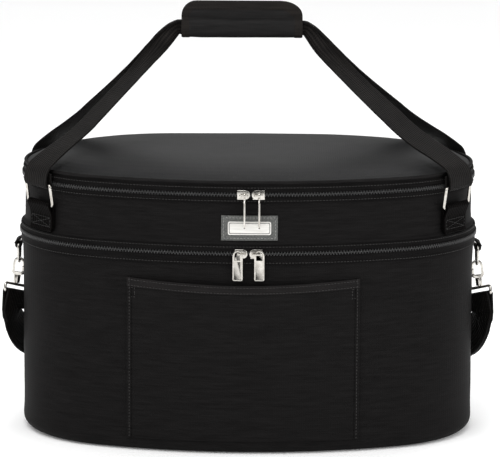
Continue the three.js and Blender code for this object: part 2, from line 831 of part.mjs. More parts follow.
function gripPiece(profile) {
  const body = toSolid(edgewise(outline(profile), -gripLength / 2, gripLength / 2));
  const plan = toSolid(upright(gripOutline(), -rollY - 1, rollY + 1));
  return fromSolid(body.intersect(plan));
}

const grip = new THREE.Group();
grip.position.set(gripX, 0, gripZ);
bag.add(grip);
addPiece('grip_wrap', gripPiece([
  ...leafProfile(-1), [-rollY, -rollZ + 4], [-rollY + 3, -rollZ], [rollY - 3, -rollZ],
  [rollY, -rollZ + 4], [rollY, seamZ - seat], [hollowY, seamZ - seat], [hollowY, -hollowZ],
  [-hollowY, -hollowZ], [-hollowY, hollowZ], [-hollowY + 1.4, hollowZ],
]), cloth, grip);
addPiece('grip_leaf', gripPiece([
  ...leafProfile(1), [rollY, seamZ], [hollowY, seamZ], [hollowY, hollowZ],
]), cloth, grip);

// Side tabs and D-rings

// The point off the wall where a side's D-ring hangs; side is -1 on the left and 1 on the right.
function tabPoint(side, z) {
  return wallPoint(side * tabTurn, -tabReach, z);
}

const dRingBar = mainZip - tabDrop;
const dRingFoot = dRingBar - dRingSide - dRingHalf;
const hangerSlack = 0.2;
const hangerRadius = dRingWire + loopSlack + webbing / 2 + hangerSlack;

function tabGeometry(side) {
  const top = mainZip - channelHalf - lowerTapeHeight - seat;
  const inner = seat + webbing / 2;
  const outer = inner + webbing + seat;
  const path = [
    [inner, top, 1], [inner, top - 2.5, 1], [tabReach - hangerRadius - 0.6, top - 5, 0.5],
    ...roundBar(tabReach, dRingBar, hangerRadius, 180, 360, 6).map((p) => [...p, 0]),
    [tabReach + hangerRadius - 0.5, dRingBar + 2.5, 0], [(outer + tabReach) / 2 + 1, top - 3, 0.3],
    [outer + 0.5, top - 0.9, 1], [outer, top, 1],
  ];
  const wallAcross = new THREE.Vector3(Math.cos(tabTurn * deg), Math.sin(tabTurn * deg) * side, 0);
  const barAcross = new THREE.Vector3(0, side, 0);
  return ribbonGeometry(path.map(([out, z, flat]) => ({
    middle: wallPoint(side * tabTurn, -out, z),
    across: barAcross.clone().lerp(wallAcross, flat).normalize(),
    width: tabWidth,
    thickness: webbing,
  })));
}

function dRingGeometry(side) {
  const half = dRingHalf;
  const corner = 2;
  const bow = Array.from({ length: 11 }, (_, i) => {
    const a = (180 + 18 * i) * deg;
    return [half * Math.cos(a), dRingFoot + half + half * Math.sin(a)];
  });
  const points = [
    [-half, dRingBar - corner], ...bow, [half, dRingBar - corner], [half - 0.6, dRingBar - 0.6],
    [half - corner, dRingBar], [corner - half, dRingBar], [0.6 - half, dRingBar - 0.6],
  ].map(([along, z]) => tabPoint(side, z).add(new THREE.Vector3(0, along, 0)));
  return wireLoop(points, dRingWire, new THREE.Vector3(1, 0, 0));
}

// Swivel snap hooks: the body hangs from the D-ring, its gate turns on a pin, and the eye turns in its barrel

const hookHalf = hookWidth / 2;
const throat = hookOpening / 2;
const crownZ = loopSlack + dRingWire - throat;
const noseZ = -hookOpening / 2;
const baseZ = -hookDrop;
const pivotZ = baseZ + 2.7;
const pivotX = -(hookHalf + throat) / 2;
const earHalf = 1.7;
const earThickness = 0.7;
const barrelTop = baseZ + 0.4;
const barrelFoot = barrelTop - barrelLength;
const neckZ = barrelFoot + 1.6;
const headZ = neckZ + fittingGap;
const eyeBarZ = barrelFoot - 2 * fittingGap - eyeWire;

function drilled(radius, z0, z1, segments = 12) {
  return new THREE.CylinderGeometry(radius, radius, z1 - z0, segments)
    .rotateX(Math.PI / 2).translate(0, 0, (z0 + z1) / 2);
}

// The inboard side, with the gate, is at negative x here.
function hookBody() {
  const shape = new THREE.Shape();
  shape.moveTo(-hookHalf, noseZ);
  shape.lineTo(-hookHalf, crownZ);
  shape.absarc(0, crownZ, hookHalf, Math.PI, 0, true);
  shape.lineTo(hookHalf, baseZ + 3);
  shape.lineTo(barrelRadius, baseZ);
  shape.lineTo(-barrelRadius, baseZ);
  shape.lineTo(pivotX - earHalf, pivotZ - 0.8);
  shape.lineTo(pivotX - earHalf, pivotZ + 0.7);
  shape.lineTo(pivotX - 0.7, pivotZ + earHalf);
  shape.lineTo(pivotX + 0.7, pivotZ + earHalf);
  shape.lineTo(pivotX + earHalf, pivotZ + 0.7);
  shape.lineTo(throat, pivotZ + 0.7);
  shape.lineTo(throat, crownZ);
  shape.absarc(0, crownZ, throat, 0, Math.PI, false);
  shape.lineTo(-throat, noseZ);
  const halfThickness = hookThickness / 2;
  const slotHalf = halfThickness - earThickness;
  const slot = block(-hookHalf - 1, pivotX + 2.2, -slotHalf, slotHalf, pivotZ - 1.9, pivotZ + 2.5);
  const body = joined([
    upright(shape, -halfThickness, halfThickness, 8),
    drilled(barrelRadius, barrelFoot, barrelTop),
  ]);
  const bore = [
    drilled(stemRadius + fittingGap, barrelFoot - 1, neckZ + 1),
    drilled(headRadius + fittingGap, neckZ, neckZ + 2 + 2 * fittingGap),
  ];
  const pin = new THREE.CylinderGeometry(0.6, 0.6, hookThickness - 0.4, 8).translate(pivotX, 0, pivotZ);
  return joined([cut(body, [...bore, slot]), pin]);
}

function gateGeometry() {
  const footHalf = hookThickness / 2 - earThickness - fittingGap;
  const outer = -hookHalf;
  const inner = outer + gateWidth;
  const shoulder = pivotZ + earHalf + 0.5;
  const foot = new THREE.CylinderGeometry(1.5, 1.5, 2 * footHalf, 12).translate(pivotX, 0, pivotZ);
  const hole = new THREE.CylinderGeometry(0.9, 0.9, hookThickness, 12).translate(pivotX, 0, pivotZ);
  const gate = joined([
    foot,
    block(outer, inner, -footHalf, footHalf, pivotZ, shoulder + 0.5),
    block(outer, inner, -hookThickness / 2, hookThickness / 2, shoulder, noseZ - fittingGap),
  ]);
  return cut(gate, [hole]);
}

// A swivel's frame: the down axis of the leaning hook, the long way of the eye and the way its strap leaves.
function swivelFrame(side) {
  const down = new THREE.Vector3(side * Math.sin(hookLean * deg), 0, -Math.cos(hookLean * deg));
  const along = new THREE.Vector3(
    -side * Math.cos(eyeTurn * deg) * Math.cos(eyeTilt * deg),
    Math.sin(eyeTurn * deg) * Math.cos(eyeTilt * deg),
    -Math.sin(eyeTilt * deg),
  );
  const away = new THREE.Vector3(0, 0, -1);
  away.addScaledVector(along, -away.dot(along)).normalize();
  const out = new THREE.Vector3().crossVectors(along, away).multiplyScalar(-side);
  const top = tabPoint(side, dRingFoot).addScaledVector(down, -eyeBarZ);
  return { down, along, away, out, top, bar: top.clone().addScaledVector(away, eyeHeight) };
}

function eyeGeometry(side) {
  const { down, along, away, out, top } = swivelFrame(side);
  const middle = top.clone().addScaledVector(away, eyeHeight / 2);
  const half = webbingWidth / 2 + 0.5 + eyeWire;
  const points = roundedRectangle(half, eyeHeight / 2, 2.5).map(([a, h]) => (
    middle.clone().addScaledVector(along, a).addScaledVector(away, -h)));
  const stemLength = headZ - eyeBarZ + 0.5;
  const stem = joined([
    drilled(stemRadius, 0, stemLength),
    drilled(headRadius, stemLength - 0.5, stemLength + 1.5),
  ]).applyQuaternion(new THREE.Quaternion().setFromUnitVectors(
    new THREE.Vector3(0, 0, 1), down.clone().negate(),
  )).translate(...top.toArray());
  return joined([wireLoop(points, eyeWire, out), stem]);
}

for (const [word, side] of [['left', -1], ['right', 1]]) {
  addPiece(`side_tab_${word}`, tabGeometry(side), strapCloth);
  addPiece(`d_ring_${word}`, dRingGeometry(side), chrome);
  const hanger = new THREE.Group();
  hanger.position.copy(tabPoint(side, dRingFoot));
  hanger.rotation.y = -side * hookLean * deg;
  bag.add(hanger);
  const turned = side < 0 ? Math.PI : 0;
  addPiece(`snap_hook_${word}`, hookBody().rotateZ(turned), chrome, hanger);
  addPiece(`hook_gate_${word}`, gateGeometry().rotateZ(turned), chrome, hanger);
  addPiece(`strap_eye_${word}`, eyeGeometry(side), chrome);
}

// Shoulder strap: one webbing round the back, doubled on the right from its eye back to the adjuster

const layerHalf = (webbing + seat) / 2;
const eyeLoop = eyeWire + loopSlack + webbing / 2;
const strapLine = new THREE.CatmullRomCurve3([
  [97.5, 54, 3.5], [98.5, 45, 4.5], [102, 34, 4.5], [110, 22, 3], [124, 11, 1.5], [144, 4, 1],
  [adjusterTurn, 1, 0.5], [180, 0, 0],
].map(([turn, rise, out]) => new THREE.Vector3(turn, strapLow + rise, strapClearance + out)));
const lineSteps = 22;
const adjusterStep = Math.round(strapLine.points.findIndex((p) => p.x === adjusterTurn)
  / (strapLine.points.length - 1) * lineSteps);

// A place on the left half of the strap, at a step from the eye to the middle of the back.
function strapPlace(step, lift) {
  const at = strapLine.getPoint(step / lineSteps);
  return wallPoint(-at.x, -at.z - lift, at.y);
}

function strapFrame(step) {
  const before = strapPlace(Math.max(step - 1, 0), 0);
  const after = strapPlace(Math.min(step + 1, lineSteps), 0);
  const along = after.sub(before).normalize();
  const turn = -strapLine.getPoint(step / lineSteps).x * deg;
  const out = new THREE.Vector3(Math.sin(turn), -Math.cos(turn), 0);
  const across = new THREE.Vector3().crossVectors(along, out).normalize();
  const share = Math.max(0, 1 - step / 4);
  across.lerp(swivelFrame(-1).along, share).normalize();
  return { along, across, out };
}

function webbingStation(middle, across) {
  return { middle, across, width: webbingWidth, thickness: webbing };
}

function strapRun(from, to, lift) {
  const count = Math.abs(to - from) + 1;
  return Array.from({ length: count }, (_, i) => {
    const step = from + i * Math.sign(to - from);
    return webbingStation(strapPlace(step, lift), strapFrame(step).across);
  });
}

// Round the eye's lower bar, from the body side to the outside.
function eyeTurnStations() {
  const { along, away, out, bar } = swivelFrame(-1);
  const near = [eyeLoop - 0.7, -6];
  return [[-near[0], near[1]], ...roundBar(0, 0, eyeLoop, 180, 0, 6), near].map(([o, h]) => (
    webbingStation(bar.clone().addScaledVector(out, o).addScaledVector(away, -h), along)));
}

// Places about the adjuster, in its own plane: towards the eye, and off the wall.
function adjusterPlaces(pairs) {
  const { along, across, out } = strapFrame(adjusterStep);
  const origin = strapPlace(adjusterStep, layerHalf);
  const face = new THREE.Vector3().crossVectors(across, along);
  face.multiplyScalar(Math.sign(face.dot(out)));
  return pairs.map(([near, off]) => webbingStation(
    origin.clone().addScaledVector(along, -near).addScaledVector(face, off), across,
  ));
}

// The same stations on the other side of the bag.
function mirrored(stations) {
  const flip = new THREE.Vector3(-1, 1, 1);
  return stations.map((s) => ({
    ...s,
    middle: s.middle.clone().multiply(flip),
    across: s.across.clone().multiply(flip),
  }));
}

const barHalf = adjusterWall / 2;
const coilRadius = barHalf * Math.SQRT2 + seat + webbing / 2;
const barLift = coilRadius;
const crossLift = barLift + coilRadius + webbing + seat;
const reach = adjusterLength / 2;
const crossing = [
  [-reach - 2, 0], [-reach + adjusterWall + 0.6, 0], [-3.6, crossLift - 0.9], [0, crossLift],
  [3.6, crossLift - 0.9], [reach - adjusterWall - 0.6, 0], [reach + 2, 0],
];
const under = -2 * layerHalf;
const sewnEnd = [
  [reach + 2, under], [reach - adjusterWall - 0.6, under], [4.2, -0.3],
  ...roundBar(0, barLift, coilRadius, 270, 90, 6),
];
addPiece('shoulder_strap', ribbonGeometry([
  ...strapRun(2, 0, -layerHalf),
  ...eyeTurnStations(),
  ...strapRun(0, lineSteps, layerHalf),
  ...mirrored(strapRun(lineSteps - 1, adjusterStep + 1, layerHalf)),
  ...mirrored(adjusterPlaces(crossing)),
  ...mirrored(strapRun(adjusterStep - 1, 0, layerHalf)),
  ...mirrored(eyeTurnStations().reverse()),
  ...mirrored(strapRun(0, adjusterStep - 1, -layerHalf)),
  ...mirrored(adjusterPlaces(sewnEnd)),
]), strapCloth);

// Three-bar adjuster
const frameOuter = webbingWidth / 2 + 0.5 + adjusterWall;
const adjusterBody = joined([
  cut(block(-frameOuter, frameOuter, -barHalf, barHalf, -reach, reach), [
    block(adjusterWall - frameOuter, frameOuter - adjusterWall, -barHalf - 1, barHalf + 1,
      adjusterWall - reach, reach - adjusterWall),
  ]),
  block(-frameOuter + 1, frameOuter - 1, -barHalf, barHalf, -barHalf, barHalf),
]);
const [adjusterPlace] = mirrored(adjusterPlaces([[0, barLift]]));
const [adjusterNear] = mirrored(adjusterPlaces([[1, barLift]]));
const adjusterAlong = adjusterNear.middle.clone().sub(adjusterPlace.middle).normalize();
const adjusterBasis = new THREE.Matrix4().makeBasis(
  adjusterPlace.across,
  new THREE.Vector3().crossVectors(adjusterAlong, adjusterPlace.across),
  adjusterAlong,
).setPosition(adjusterPlace.middle);
addPiece('strap_adjuster', adjusterBody.applyMatrix4(adjusterBasis), chrome);

export default bag;
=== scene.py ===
"""A padded carrier for an oval slow cooker, dressed in cloth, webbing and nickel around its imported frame.

Sizes are in millimetres. A turn is an angle in degrees round the oval plan: 0 at the middle of the front,
90 at the right end, 180 at the middle of the back.
"""

import logging
import math
from dataclasses import dataclass, field
from enum import Enum
from itertools import accumulate
from typing import Callable, Iterable, Sequence

import bpy
from mathutils import Matrix, Vector, noise


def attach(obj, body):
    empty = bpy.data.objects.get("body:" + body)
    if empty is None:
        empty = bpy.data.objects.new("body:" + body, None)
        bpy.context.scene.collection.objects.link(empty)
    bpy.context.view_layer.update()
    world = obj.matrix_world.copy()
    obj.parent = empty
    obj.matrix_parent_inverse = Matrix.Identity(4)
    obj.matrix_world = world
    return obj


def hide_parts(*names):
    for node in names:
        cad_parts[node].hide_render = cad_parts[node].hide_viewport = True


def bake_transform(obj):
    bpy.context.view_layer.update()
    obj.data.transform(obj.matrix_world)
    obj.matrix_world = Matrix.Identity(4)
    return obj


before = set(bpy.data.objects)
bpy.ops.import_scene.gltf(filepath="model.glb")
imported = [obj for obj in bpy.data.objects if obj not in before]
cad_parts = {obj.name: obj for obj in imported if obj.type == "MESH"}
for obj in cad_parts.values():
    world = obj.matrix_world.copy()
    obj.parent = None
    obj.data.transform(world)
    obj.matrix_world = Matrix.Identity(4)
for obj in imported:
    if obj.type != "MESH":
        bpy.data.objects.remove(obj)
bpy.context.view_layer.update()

MM = 0.001
BAND = 0.314  # spacing of a wave texture's bands at a scale of 1
log = logging.getLogger("carrier")

Pair = tuple[float, float]
Piece = bpy.types.Object
Tree = bpy.types.NodeTree
Socket = bpy.types.NodeSocket
Place = Callable[[float, float], Vector]
Shape = Callable[[float, float, float, float], Pair]


def mix(a: float, b: float, share: float) -> float:
    """The value a share of the way from a to b."""
    return a + (b - a) * share


def ease(value: float) -> float:
    """A smooth step from 0 to 1 for a value that is held between them."""
    value = min(max(value, 0.0), 1.0)
    return value * value * (3 - 2 * value)


def linear(hex_colour: str) -> tuple[float, float, float, float]:
    """The linear colour, with an alpha of 1, of an sRGB colour in six hex digits."""
    channels = [int(hex_colour[i : i + 2], 16) / 255 for i in (0, 2, 4)]
    return (*((c / 12.92 if c <= 0.04045 else ((c + 0.055) / 1.055) ** 2.4) for c in channels), 1.0)


def add_node(
    tree: Tree, kind: str, settings: dict | None = None, links: dict | None = None
) -> bpy.types.Node:
    """Adds a shader node with its settings and its incoming links.

    Args:
        tree: The node tree of the material.
        kind: Blender's name of the node type, without its prefix.
        settings: Values by property, or by input name or number. A colour ramp's stops are pairs of a place
            and a hex colour.
        links: Sockets to link from, by input name or number.

    Returns:
        The new node.
    """
    node = tree.nodes.new("ShaderNode" + kind)
    for name, value in (settings or {}).items():
        if name == "stops":
            ramp = node.color_ramp.elements
            for index, (place, colour) in enumerate(value):
                stop = ramp[index] if index < 2 else ramp.new(place)
                stop.position, stop.color = place, linear(colour)
        elif isinstance(name, int) or name in node.inputs:
            node.inputs[name].default_value = value
        else:
            setattr(node, name, value)
    for name, socket in (links or {}).items():
        tree.links.new(socket, node.inputs[name])
    return node


@dataclass(frozen=True)
class Recipe:
    """A finish made of one pattern, which gives its colour, its relief and the spread of its roughness.

    Its colours are those of the pattern's low and high parts, and its grain is the pattern's size.
    """

    name: str
    low: str
    high: str
    rough: float = 0.5
    gloss: float = 0.5
    metal: float = 0.0
    grain: float = 2.0
    detail: float = 3.0
    fineness: float = 0.5
    stretch: tuple[float, float, float] | None = None
    stops: Pair = (0.3, 0.7)
    relief: float = 0.0
    depth: float = 0.2
    sunk: bool = False
    spread: Pair = (0.0, 0.0)
    coordinates: str = "Object"

    def pattern(self, tree: Tree, place: Socket) -> tuple[Socket, Socket]:
        """Adds the pattern; here one noise gives both its tone and its height.

        Args:
            tree: The material's tree.
            place: The coordinates that the pattern lies on.

        Returns:
            The sockets of the tone and of the height.
        """
        if self.stretch:
            place = add_node(tree, "Mapping", {"Scale": self.stretch}, {"Vector": place}).outputs["Vector"]
        settings = {"Scale": 1 / (self.grain * MM), "Detail": self.detail, "Roughness": self.fineness}
        grain = add_node(tree, "TexNoise", settings, {"Vector": place}).outputs["Fac"]
        return grain, grain

    def feeds(self, tree: Tree, place: Socket) -> tuple[dict, dict]:
        """Adds the nodes before the shader.

        Args:
            tree: The material's tree.
            place: The coordinates that the pattern lies on.

        Returns:
            The shader's own values and its links, by input name.
        """
        tone, height = self.pattern(tree, place)
        stops = [*zip(self.stops, (self.low, self.high))]
        links = {"Base Color": add_node(tree, "ValToRGB", {"stops": stops}, {"Fac": tone}).outputs["Color"]}
        if self.relief:
            bump = {"Strength": self.relief, "Distance": self.depth * MM, "invert": self.sunk}
            links["Normal"] = add_node(tree, "Bump", bump, {"Height": height}).outputs["Normal"]
        less, more = self.spread
        if more:
            span = {"To Min": self.rough - less, "To Max": self.rough + more}
            links["Roughness"] = add_node(tree, "MapRange", span, {"Value": tone}).outputs["Result"]
        return {"Roughness": self.rough, "Metallic": self.metal, "Specular IOR Level": self.gloss}, links

    def build(self) -> bpy.types.Material:
        """Builds the material.

        Returns:
            The material.
        """
        material = bpy.data.materials.new(self.name)
        material.use_nodes = True
        tree = material.node_tree
        tree.nodes.clear()
        place = add_node(tree, "TexCoord").outputs[self.coordinates]
        shader = add_node(tree, "BsdfPrincipled", *self.feeds(tree, place))
        add_node(tree, "OutputMaterial", links={"Surface": shader.outputs["BSDF"]})
        return material


@dataclass(frozen=True)
class WovenCloth(Recipe):
    """Plain woven polyester, calendered: dull, with fine slubs across the weave.

    The real thread is about 0.4 mm, too fine for a render of the whole bag, so it is drawn coarser.
    """

    rough: float = 0.62
    gloss: float = 0.12
    grain: float = 9.0
    detail: float = 6.0
    fineness: float = 0.62
    stretch: tuple[float, float, float] = (1 / 3, 1 / 3, 4.0)
    stops: Pair = (0.3, 0.72)
    relief: float = 0.2
    depth: float = 0.4
    spread: Pair = (0.08, 0.1)
    thread: float = 1.1

    def pattern(self, tree: Tree, place: Socket) -> tuple[Socket, Socket]:
        """Adds slubs for the tone, with crossed threads on them for the height.

        Args:
            tree: The material's tree.
            place: The coordinates that the pattern lies on.

        Returns:
            The sockets of the tone and of the height.
        """
        settings = {"Scale": BAND / (self.thread * MM) / 2, "Distortion": 0.6, "Detail": 1.0}
        warp, weft = (
            add_node(tree, "TexWave", {"bands_direction": way, **settings}, {"Vector": place}).outputs["Fac"]
            for way in "XZ"
        )
        slubs = super().pattern(tree, place)[0]
        weave = add_node(tree, "Math", {"operation": "MULTIPLY"}, {0: warp, 1: weft}).outputs["Value"]
        return slubs, add_node(tree, "Math", {"operation": "ADD"}, {0: weave, 1: slubs}).outputs["Value"]


@dataclass(frozen=True)
class RibbedWebbing(Recipe):
    """Ribbed nylon webbing: warp ribs along the strap and a fine step from each weft thread across it.

    It lies on the strap's own UV map, which is in millimetres.
    """

    rough: float = 0.7
    gloss: float = 0.12
    grain: float = 12.5
    stops: Pair = (0.1, 0.8)
    relief: float = 0.8
    depth: float = 0.6
    coordinates: str = "UV"
    rib: float = 3.2
    weft: float = 1.5

    def pattern(self, tree: Tree, place: Socket) -> tuple[Socket, Socket]:
        """Adds ribs and wefts for the height, with wear on them for the tone.

        Args:
            tree: The material's tree.
            place: The strap's UV map.

        Returns:
            The sockets of the tone and of the height.
        """
        ribs, wefts = (
            add_node(tree, "TexWave", {"bands_direction": way, "Scale": BAND / pitch, "Distortion": stray,
                                       "Detail Scale": 2.0}, {"Vector": place}).outputs["Fac"]
            for way, pitch, stray in (("Y", self.rib, 0.35), ("X", self.weft, 0.8))
        )
        wear = add_node(tree, "TexNoise", {"Scale": 1 / self.grain, "Detail": 5.0}, {"Vector": place})
        weave = add_node(tree, "Math", {"operation": "MULTIPLY_ADD", 1: 0.45}, {0: wefts, 2: ribs})
        height = weave.outputs["Value"]
        worn = add_node(tree, "Math", {"operation": "MULTIPLY"}, {0: height, 1: wear.outputs["Fac"]})
        return worn.outputs["Value"], height


@dataclass(frozen=True)
class Nickel(Recipe):
    """Bright nickel plating over a zinc casting: a mirror, faintly clouded by handling."""

    rough: float = 0.14
    metal: float = 1.0
    grain: float = 5.0
    detail: float = 4.0
    stops: Pair = (0.35, 0.7)
    spread: Pair = (0.05, 0.12)


@dataclass(frozen=True)
class Leatherette(Recipe):
    """Embossed imitation leather: small pebbles with worn, paler tops."""

    grain: float = 1.3
    stops: Pair = (0.1, 0.75)
    relief: float = 0.5
    depth: float = 0.3
    sunk: bool = True

    def pattern(self, tree: Tree, place: Socket) -> tuple[Socket, Socket]:
        """Adds the pebbles, whose distance from their middles is both tone and height.

        Args:
            tree: The material's tree.
            place: The coordinates that the pebbles lie on.

        Returns:
            The sockets of the tone and of the height.
        """
        settings = {"Scale": 1 / (self.grain * MM), "Randomness": 0.9}
        pebbles = add_node(tree, "TexVoronoi", settings, {"Vector": place}).outputs["Distance"]
        return pebbles, pebbles


@dataclass(frozen=True)
class BrushedPlate(Recipe):
    """A pale pressed metal plate, brushed along its length."""

    rough: float = 0.38
    metal: float = 0.55
    grain: float = 0.9
    detail: float = 6.0
    stretch: tuple[float, float, float] = (0.04, 0.04, 1.0)
    relief: float = 0.12
    depth: float = 0.1


@dataclass(frozen=True)
class MouldedPlastic(Recipe):
    """Moulded, foamed or spun plastic: an even colour with a fine pitted surface."""

    rough: float = 0.55
    stops: Pair = (0.35, 0.65)
    relief: float = 0.2


@dataclass(frozen=True)
class PaleBackdrop(Recipe):
    """Seamless pale paper: it shows as its own colour and keeps the shadow of what stands on it.

    Rays from the camera, straight or mirrored, see it a little lighter, so that it burns out to white and
    throws no more light on the bag.
    """

    lift: float = 0.07

    def feeds(self, tree: Tree, place: Socket) -> tuple[dict, dict]:
        """Adds an uneven roughness, and a glow that only those rays see.

        Args:
            tree: The material's tree.
            place: The coordinates that the paper's tooth lies on.

        Returns:
            The shader's own values and its links, by input name.
        """
        tooth = add_node(tree, "TexNoise", {"Scale": 3.0}, {"Vector": place}).outputs["Fac"]
        rough = add_node(tree, "MapRange", {"To Min": 0.8, "To Max": 0.95}, {"Value": tooth})
        rays = add_node(tree, "LightPath").outputs
        seen = rays["Is Camera Ray"]
        for word in ("Is Glossy Ray", "Is Transmission Ray"):
            seen = add_node(tree, "Math", {"operation": "MAXIMUM"}, {0: seen, 1: rays[word]}).outputs["Value"]
        glow = add_node(tree, "Math", {"operation": "MULTIPLY", 1: self.lift}, {0: seen}).outputs["Value"]
        colours = {"Base Color": linear(self.low), "Emission Color": linear(self.high)}
        links = {"Roughness": rough.outputs["Result"], "Emission Strength": glow}
        return {**colours, "Specular IOR Level": 0.1}, links


class Finish(Enum):
    """Each finish of the bag: its slot in the record and its recipe."""

    CLOTH = "cloth", WovenCloth("Body cloth, woven polyester", "0f0e0e", "191818", gloss=0.045)
    # The lid top is the body's cloth painted lighter: painted light from above, with its sheen.
    LID_CLOTH = "lid_cloth", WovenCloth(
        "Lid cloth, woven polyester", "1f1f20", "292929", rough=0.5, gloss=0.11
    )
    GRIP_CLOTH = "cloth", WovenCloth("Grip cloth, woven polyester", "161616", "212020", rough=0.5, gloss=0.07)
    GRIP_BINDING = "cloth", WovenCloth(
        "Grip binding, grosgrain", "181615", "24211f", thread=1.6, relief=0.4, gloss=0.07
    )
    # The pocket hem is the body's cloth painted lighter: a painted highlight on the turned hem.
    HEM_CLOTH = "cloth", WovenCloth("Hem cloth, woven polyester", "171616", "211f1f", gloss=0.05)
    # The anchors are the strap webbing painted darker: painted shade cast by the handle straps over them.
    ANCHOR_WEBBING = "strap_webbing", RibbedWebbing(
        "Anchor webbing, ribbed nylon", "040303", "100e0d", gloss=0.03
    )
    BINDING = "cloth", WovenCloth(
        "Edge binding, grosgrain", "0d0c0c", "171615", thread=1.6, relief=0.4, gloss=0.05
    )
    ZIP_TAPE = "cloth", WovenCloth(
        "Zipper tape, twill", "0b0a0a", "141313", thread=0.9, relief=0.32, gloss=0.04
    )
    LINING = "lining_cloth", WovenCloth("Lining, coated taffeta", "3a3b3d", "4c4d50", rough=0.45)
    WEBBING = "strap_webbing", RibbedWebbing("Strap webbing, ribbed nylon", "080707", "201d1b")
    NICKEL = "chrome", Nickel("Bright nickel plating", "b5b1aa", "d9d6d0")
    # The coil is black nylon painted dark grey: partly its own colour, partly painted highlights along its
    # teeth.
    TEETH = "cloth", MouldedPlastic("Zipper coil, black nylon", "1a1a1a", "363636", rough=0.35)
    THREAD = "cloth", MouldedPlastic("Sewing thread, bonded polyester", "1b1a19", "2a2826", rough=0.6)
    # The anchors' thread is painted darker than the other thread: painted shade, as on their webbing.
    ANCHOR_THREAD = "cloth", MouldedPlastic("Anchor thread, bonded polyester", "100f0e", "1a1918", rough=0.6)
    PATCH_THREAD = "patch_leather", MouldedPlastic("Patch thread, grey polyester", "7b7b7a", "9a9a98")
    PATCH = "patch_leather", Leatherette("Label patch, imitation leather", "63645f", "3f4040")
    PLATE = "plate_metal", BrushedPlate("Label plate, brushed", "d8d6d0", "f2f0ec")
    # A grey ring between the plate's frame and face: the painted shade of a groove.
    PLATE_RIM = "plate_metal", MouldedPlastic("Label plate rim, shaded", "6f6e6c", "8a8987", rough=0.4)
    PIPING = "cloth", WovenCloth(
        "Piping, woven polyester", "121111", "201f1f", thread=1.4, relief=0.32, gloss=0.06
    )
    FOAM = "foam", MouldedPlastic("Padding, closed-cell foam", "8a8b8c", "a2a3a4", rough=0.9)
    BOARD = "board", MouldedPlastic("Base board, moulded plastic", "2a2a2a", "363636")

    def __init__(self, slot: str, recipe: Recipe) -> None:
        """Keeps the record's material slot and the recipe."""
        self.slot, self.recipe = slot, recipe

    @property
    def material(self) -> bpy.types.Material:
        """The material, built when it is first asked for."""
        return bpy.data.materials.get(self.recipe.name) or self.recipe.build()


def select_only(piece: Piece | None = None) -> None:
    """Selects one piece or none, since an operator acts on all that is selected.

    Args:
        piece: The piece to select, or none.
    """
    if bpy.context.object and bpy.context.object.mode != "OBJECT":
        bpy.ops.object.mode_set(mode="OBJECT")
    bpy.ops.object.select_all(action="DESELECT")
    if piece:
        piece.select_set(True)
        bpy.context.view_layer.objects.active = piece


def modify(piece: Piece, kind: str, **settings: object) -> Piece:
    """Adds a modifier to a piece and applies it.

    Args:
        piece: The mesh object.
        kind: Blender's type of the modifier.
        **settings: Values of its properties.

    Returns:
        The same piece.
    """
    select_only(piece)
    modifier = piece.modifiers.new(kind.title(), kind)
    for name, value in settings.items():
        setattr(modifier, name, value)
    bpy.ops.object.modifier_apply(modifier=modifier.name)
    return piece


def rounded(piece: Piece, edge: float, segments: int = 3, angle: float = 30.0) -> Piece:
    """Rounds the edges of a piece that turn by more than an angle in degrees."""
    return modify(piece, "BEVEL", width=edge * MM, segments=segments, limit_method="ANGLE",
                  angle_limit=math.radians(angle))


def thicken(piece: Piece, thickness: float, offset: float = -1.0) -> Piece:
    """Gives a single skin its thickness behind its face, or with an offset of 0 half on each side."""
    return modify(piece, "SOLIDIFY", thickness=thickness * MM, offset=offset)


def merge() -> None:
    """Merges the doubled points of what is selected in edit mode."""
    bpy.ops.mesh.remove_doubles(threshold=0.01 * MM)


def edited(piece: Piece, *steps: Callable[[], object]) -> Piece:
    """Takes steps in edit mode on the whole of a piece.

    Args:
        piece: The mesh object.
        *steps: Operators, or functions that call one.

    Returns:
        The same piece.
    """
    select_only(piece)
    bpy.ops.object.mode_set(mode="EDIT")
    bpy.ops.mesh.select_all(action="SELECT")
    for step in steps:
        step()
    bpy.ops.object.mode_set(mode="OBJECT")
    return piece


def outward(piece: Piece) -> Piece:
    """Merges the doubled points of a closed piece and turns its faces outwards."""
    return edited(piece, merge, bpy.ops.mesh.normals_make_consistent)


def dress(piece: Piece, finish: Finish | None, body: str | None, stands_for: Iterable[str] = (),
          smooth: float = 40.0) -> Piece:
    """Gives a finished piece its finish and its place in the frame.

    Args:
        piece: The mesh object, at the origin.
        finish: Its finish, or None where it has materials of its own on body cloth's slot.
        body: The frame body it rides on, or None where it is attached to none.
        stands_for: The frame nodes it replaces.
        smooth: The angle in degrees under which its faces are shaded smooth.

    Returns:
        The same piece.
    """
    word = "_".join("".join(c if c.isalnum() else " " for c in piece.name.lower()).split())
    piece.name = word + "_dressed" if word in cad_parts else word
    if finish:
        piece.data.materials.clear()
        piece.data.materials.append(finish.material)
    select_only(piece)
    bpy.ops.object.shade_smooth_by_angle(angle=math.radians(smooth))
    if body:
        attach(piece, body)
    if stands_for:
        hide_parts(*stands_for)
    log.info("%s: %d faces", piece.name, len(piece.data.polygons))
    return piece


def laid_grid(name: str, columns: int, rows: int, place: Place, size: Pair = (1.0, 1.0)) -> Piece:
    """Lays a grid primitive onto a surface and merges it where its sides meet.

    Args:
        name: The piece's name.
        columns: Faces along u.
        rows: Faces along v.
        place: Gives a point in millimetres for u and v from 0 to 1.
        size: The sheet's length and width in millimetres, which its UV map is scaled to.

    Returns:
        The new piece.
    """
    select_only()
    bpy.ops.mesh.primitive_grid_add(x_subdivisions=columns, y_subdivisions=rows, size=1)
    piece = bpy.context.object
    piece.name = name
    for vertex in piece.data.vertices:
        vertex.co = place(vertex.co.x + 0.5, vertex.co.y + 0.5) * MM
    for corner in piece.data.uv_layers.active.data:
        corner.uv = (corner.uv[0] * size[0], corner.uv[1] * size[1])
    return edited(piece, merge)


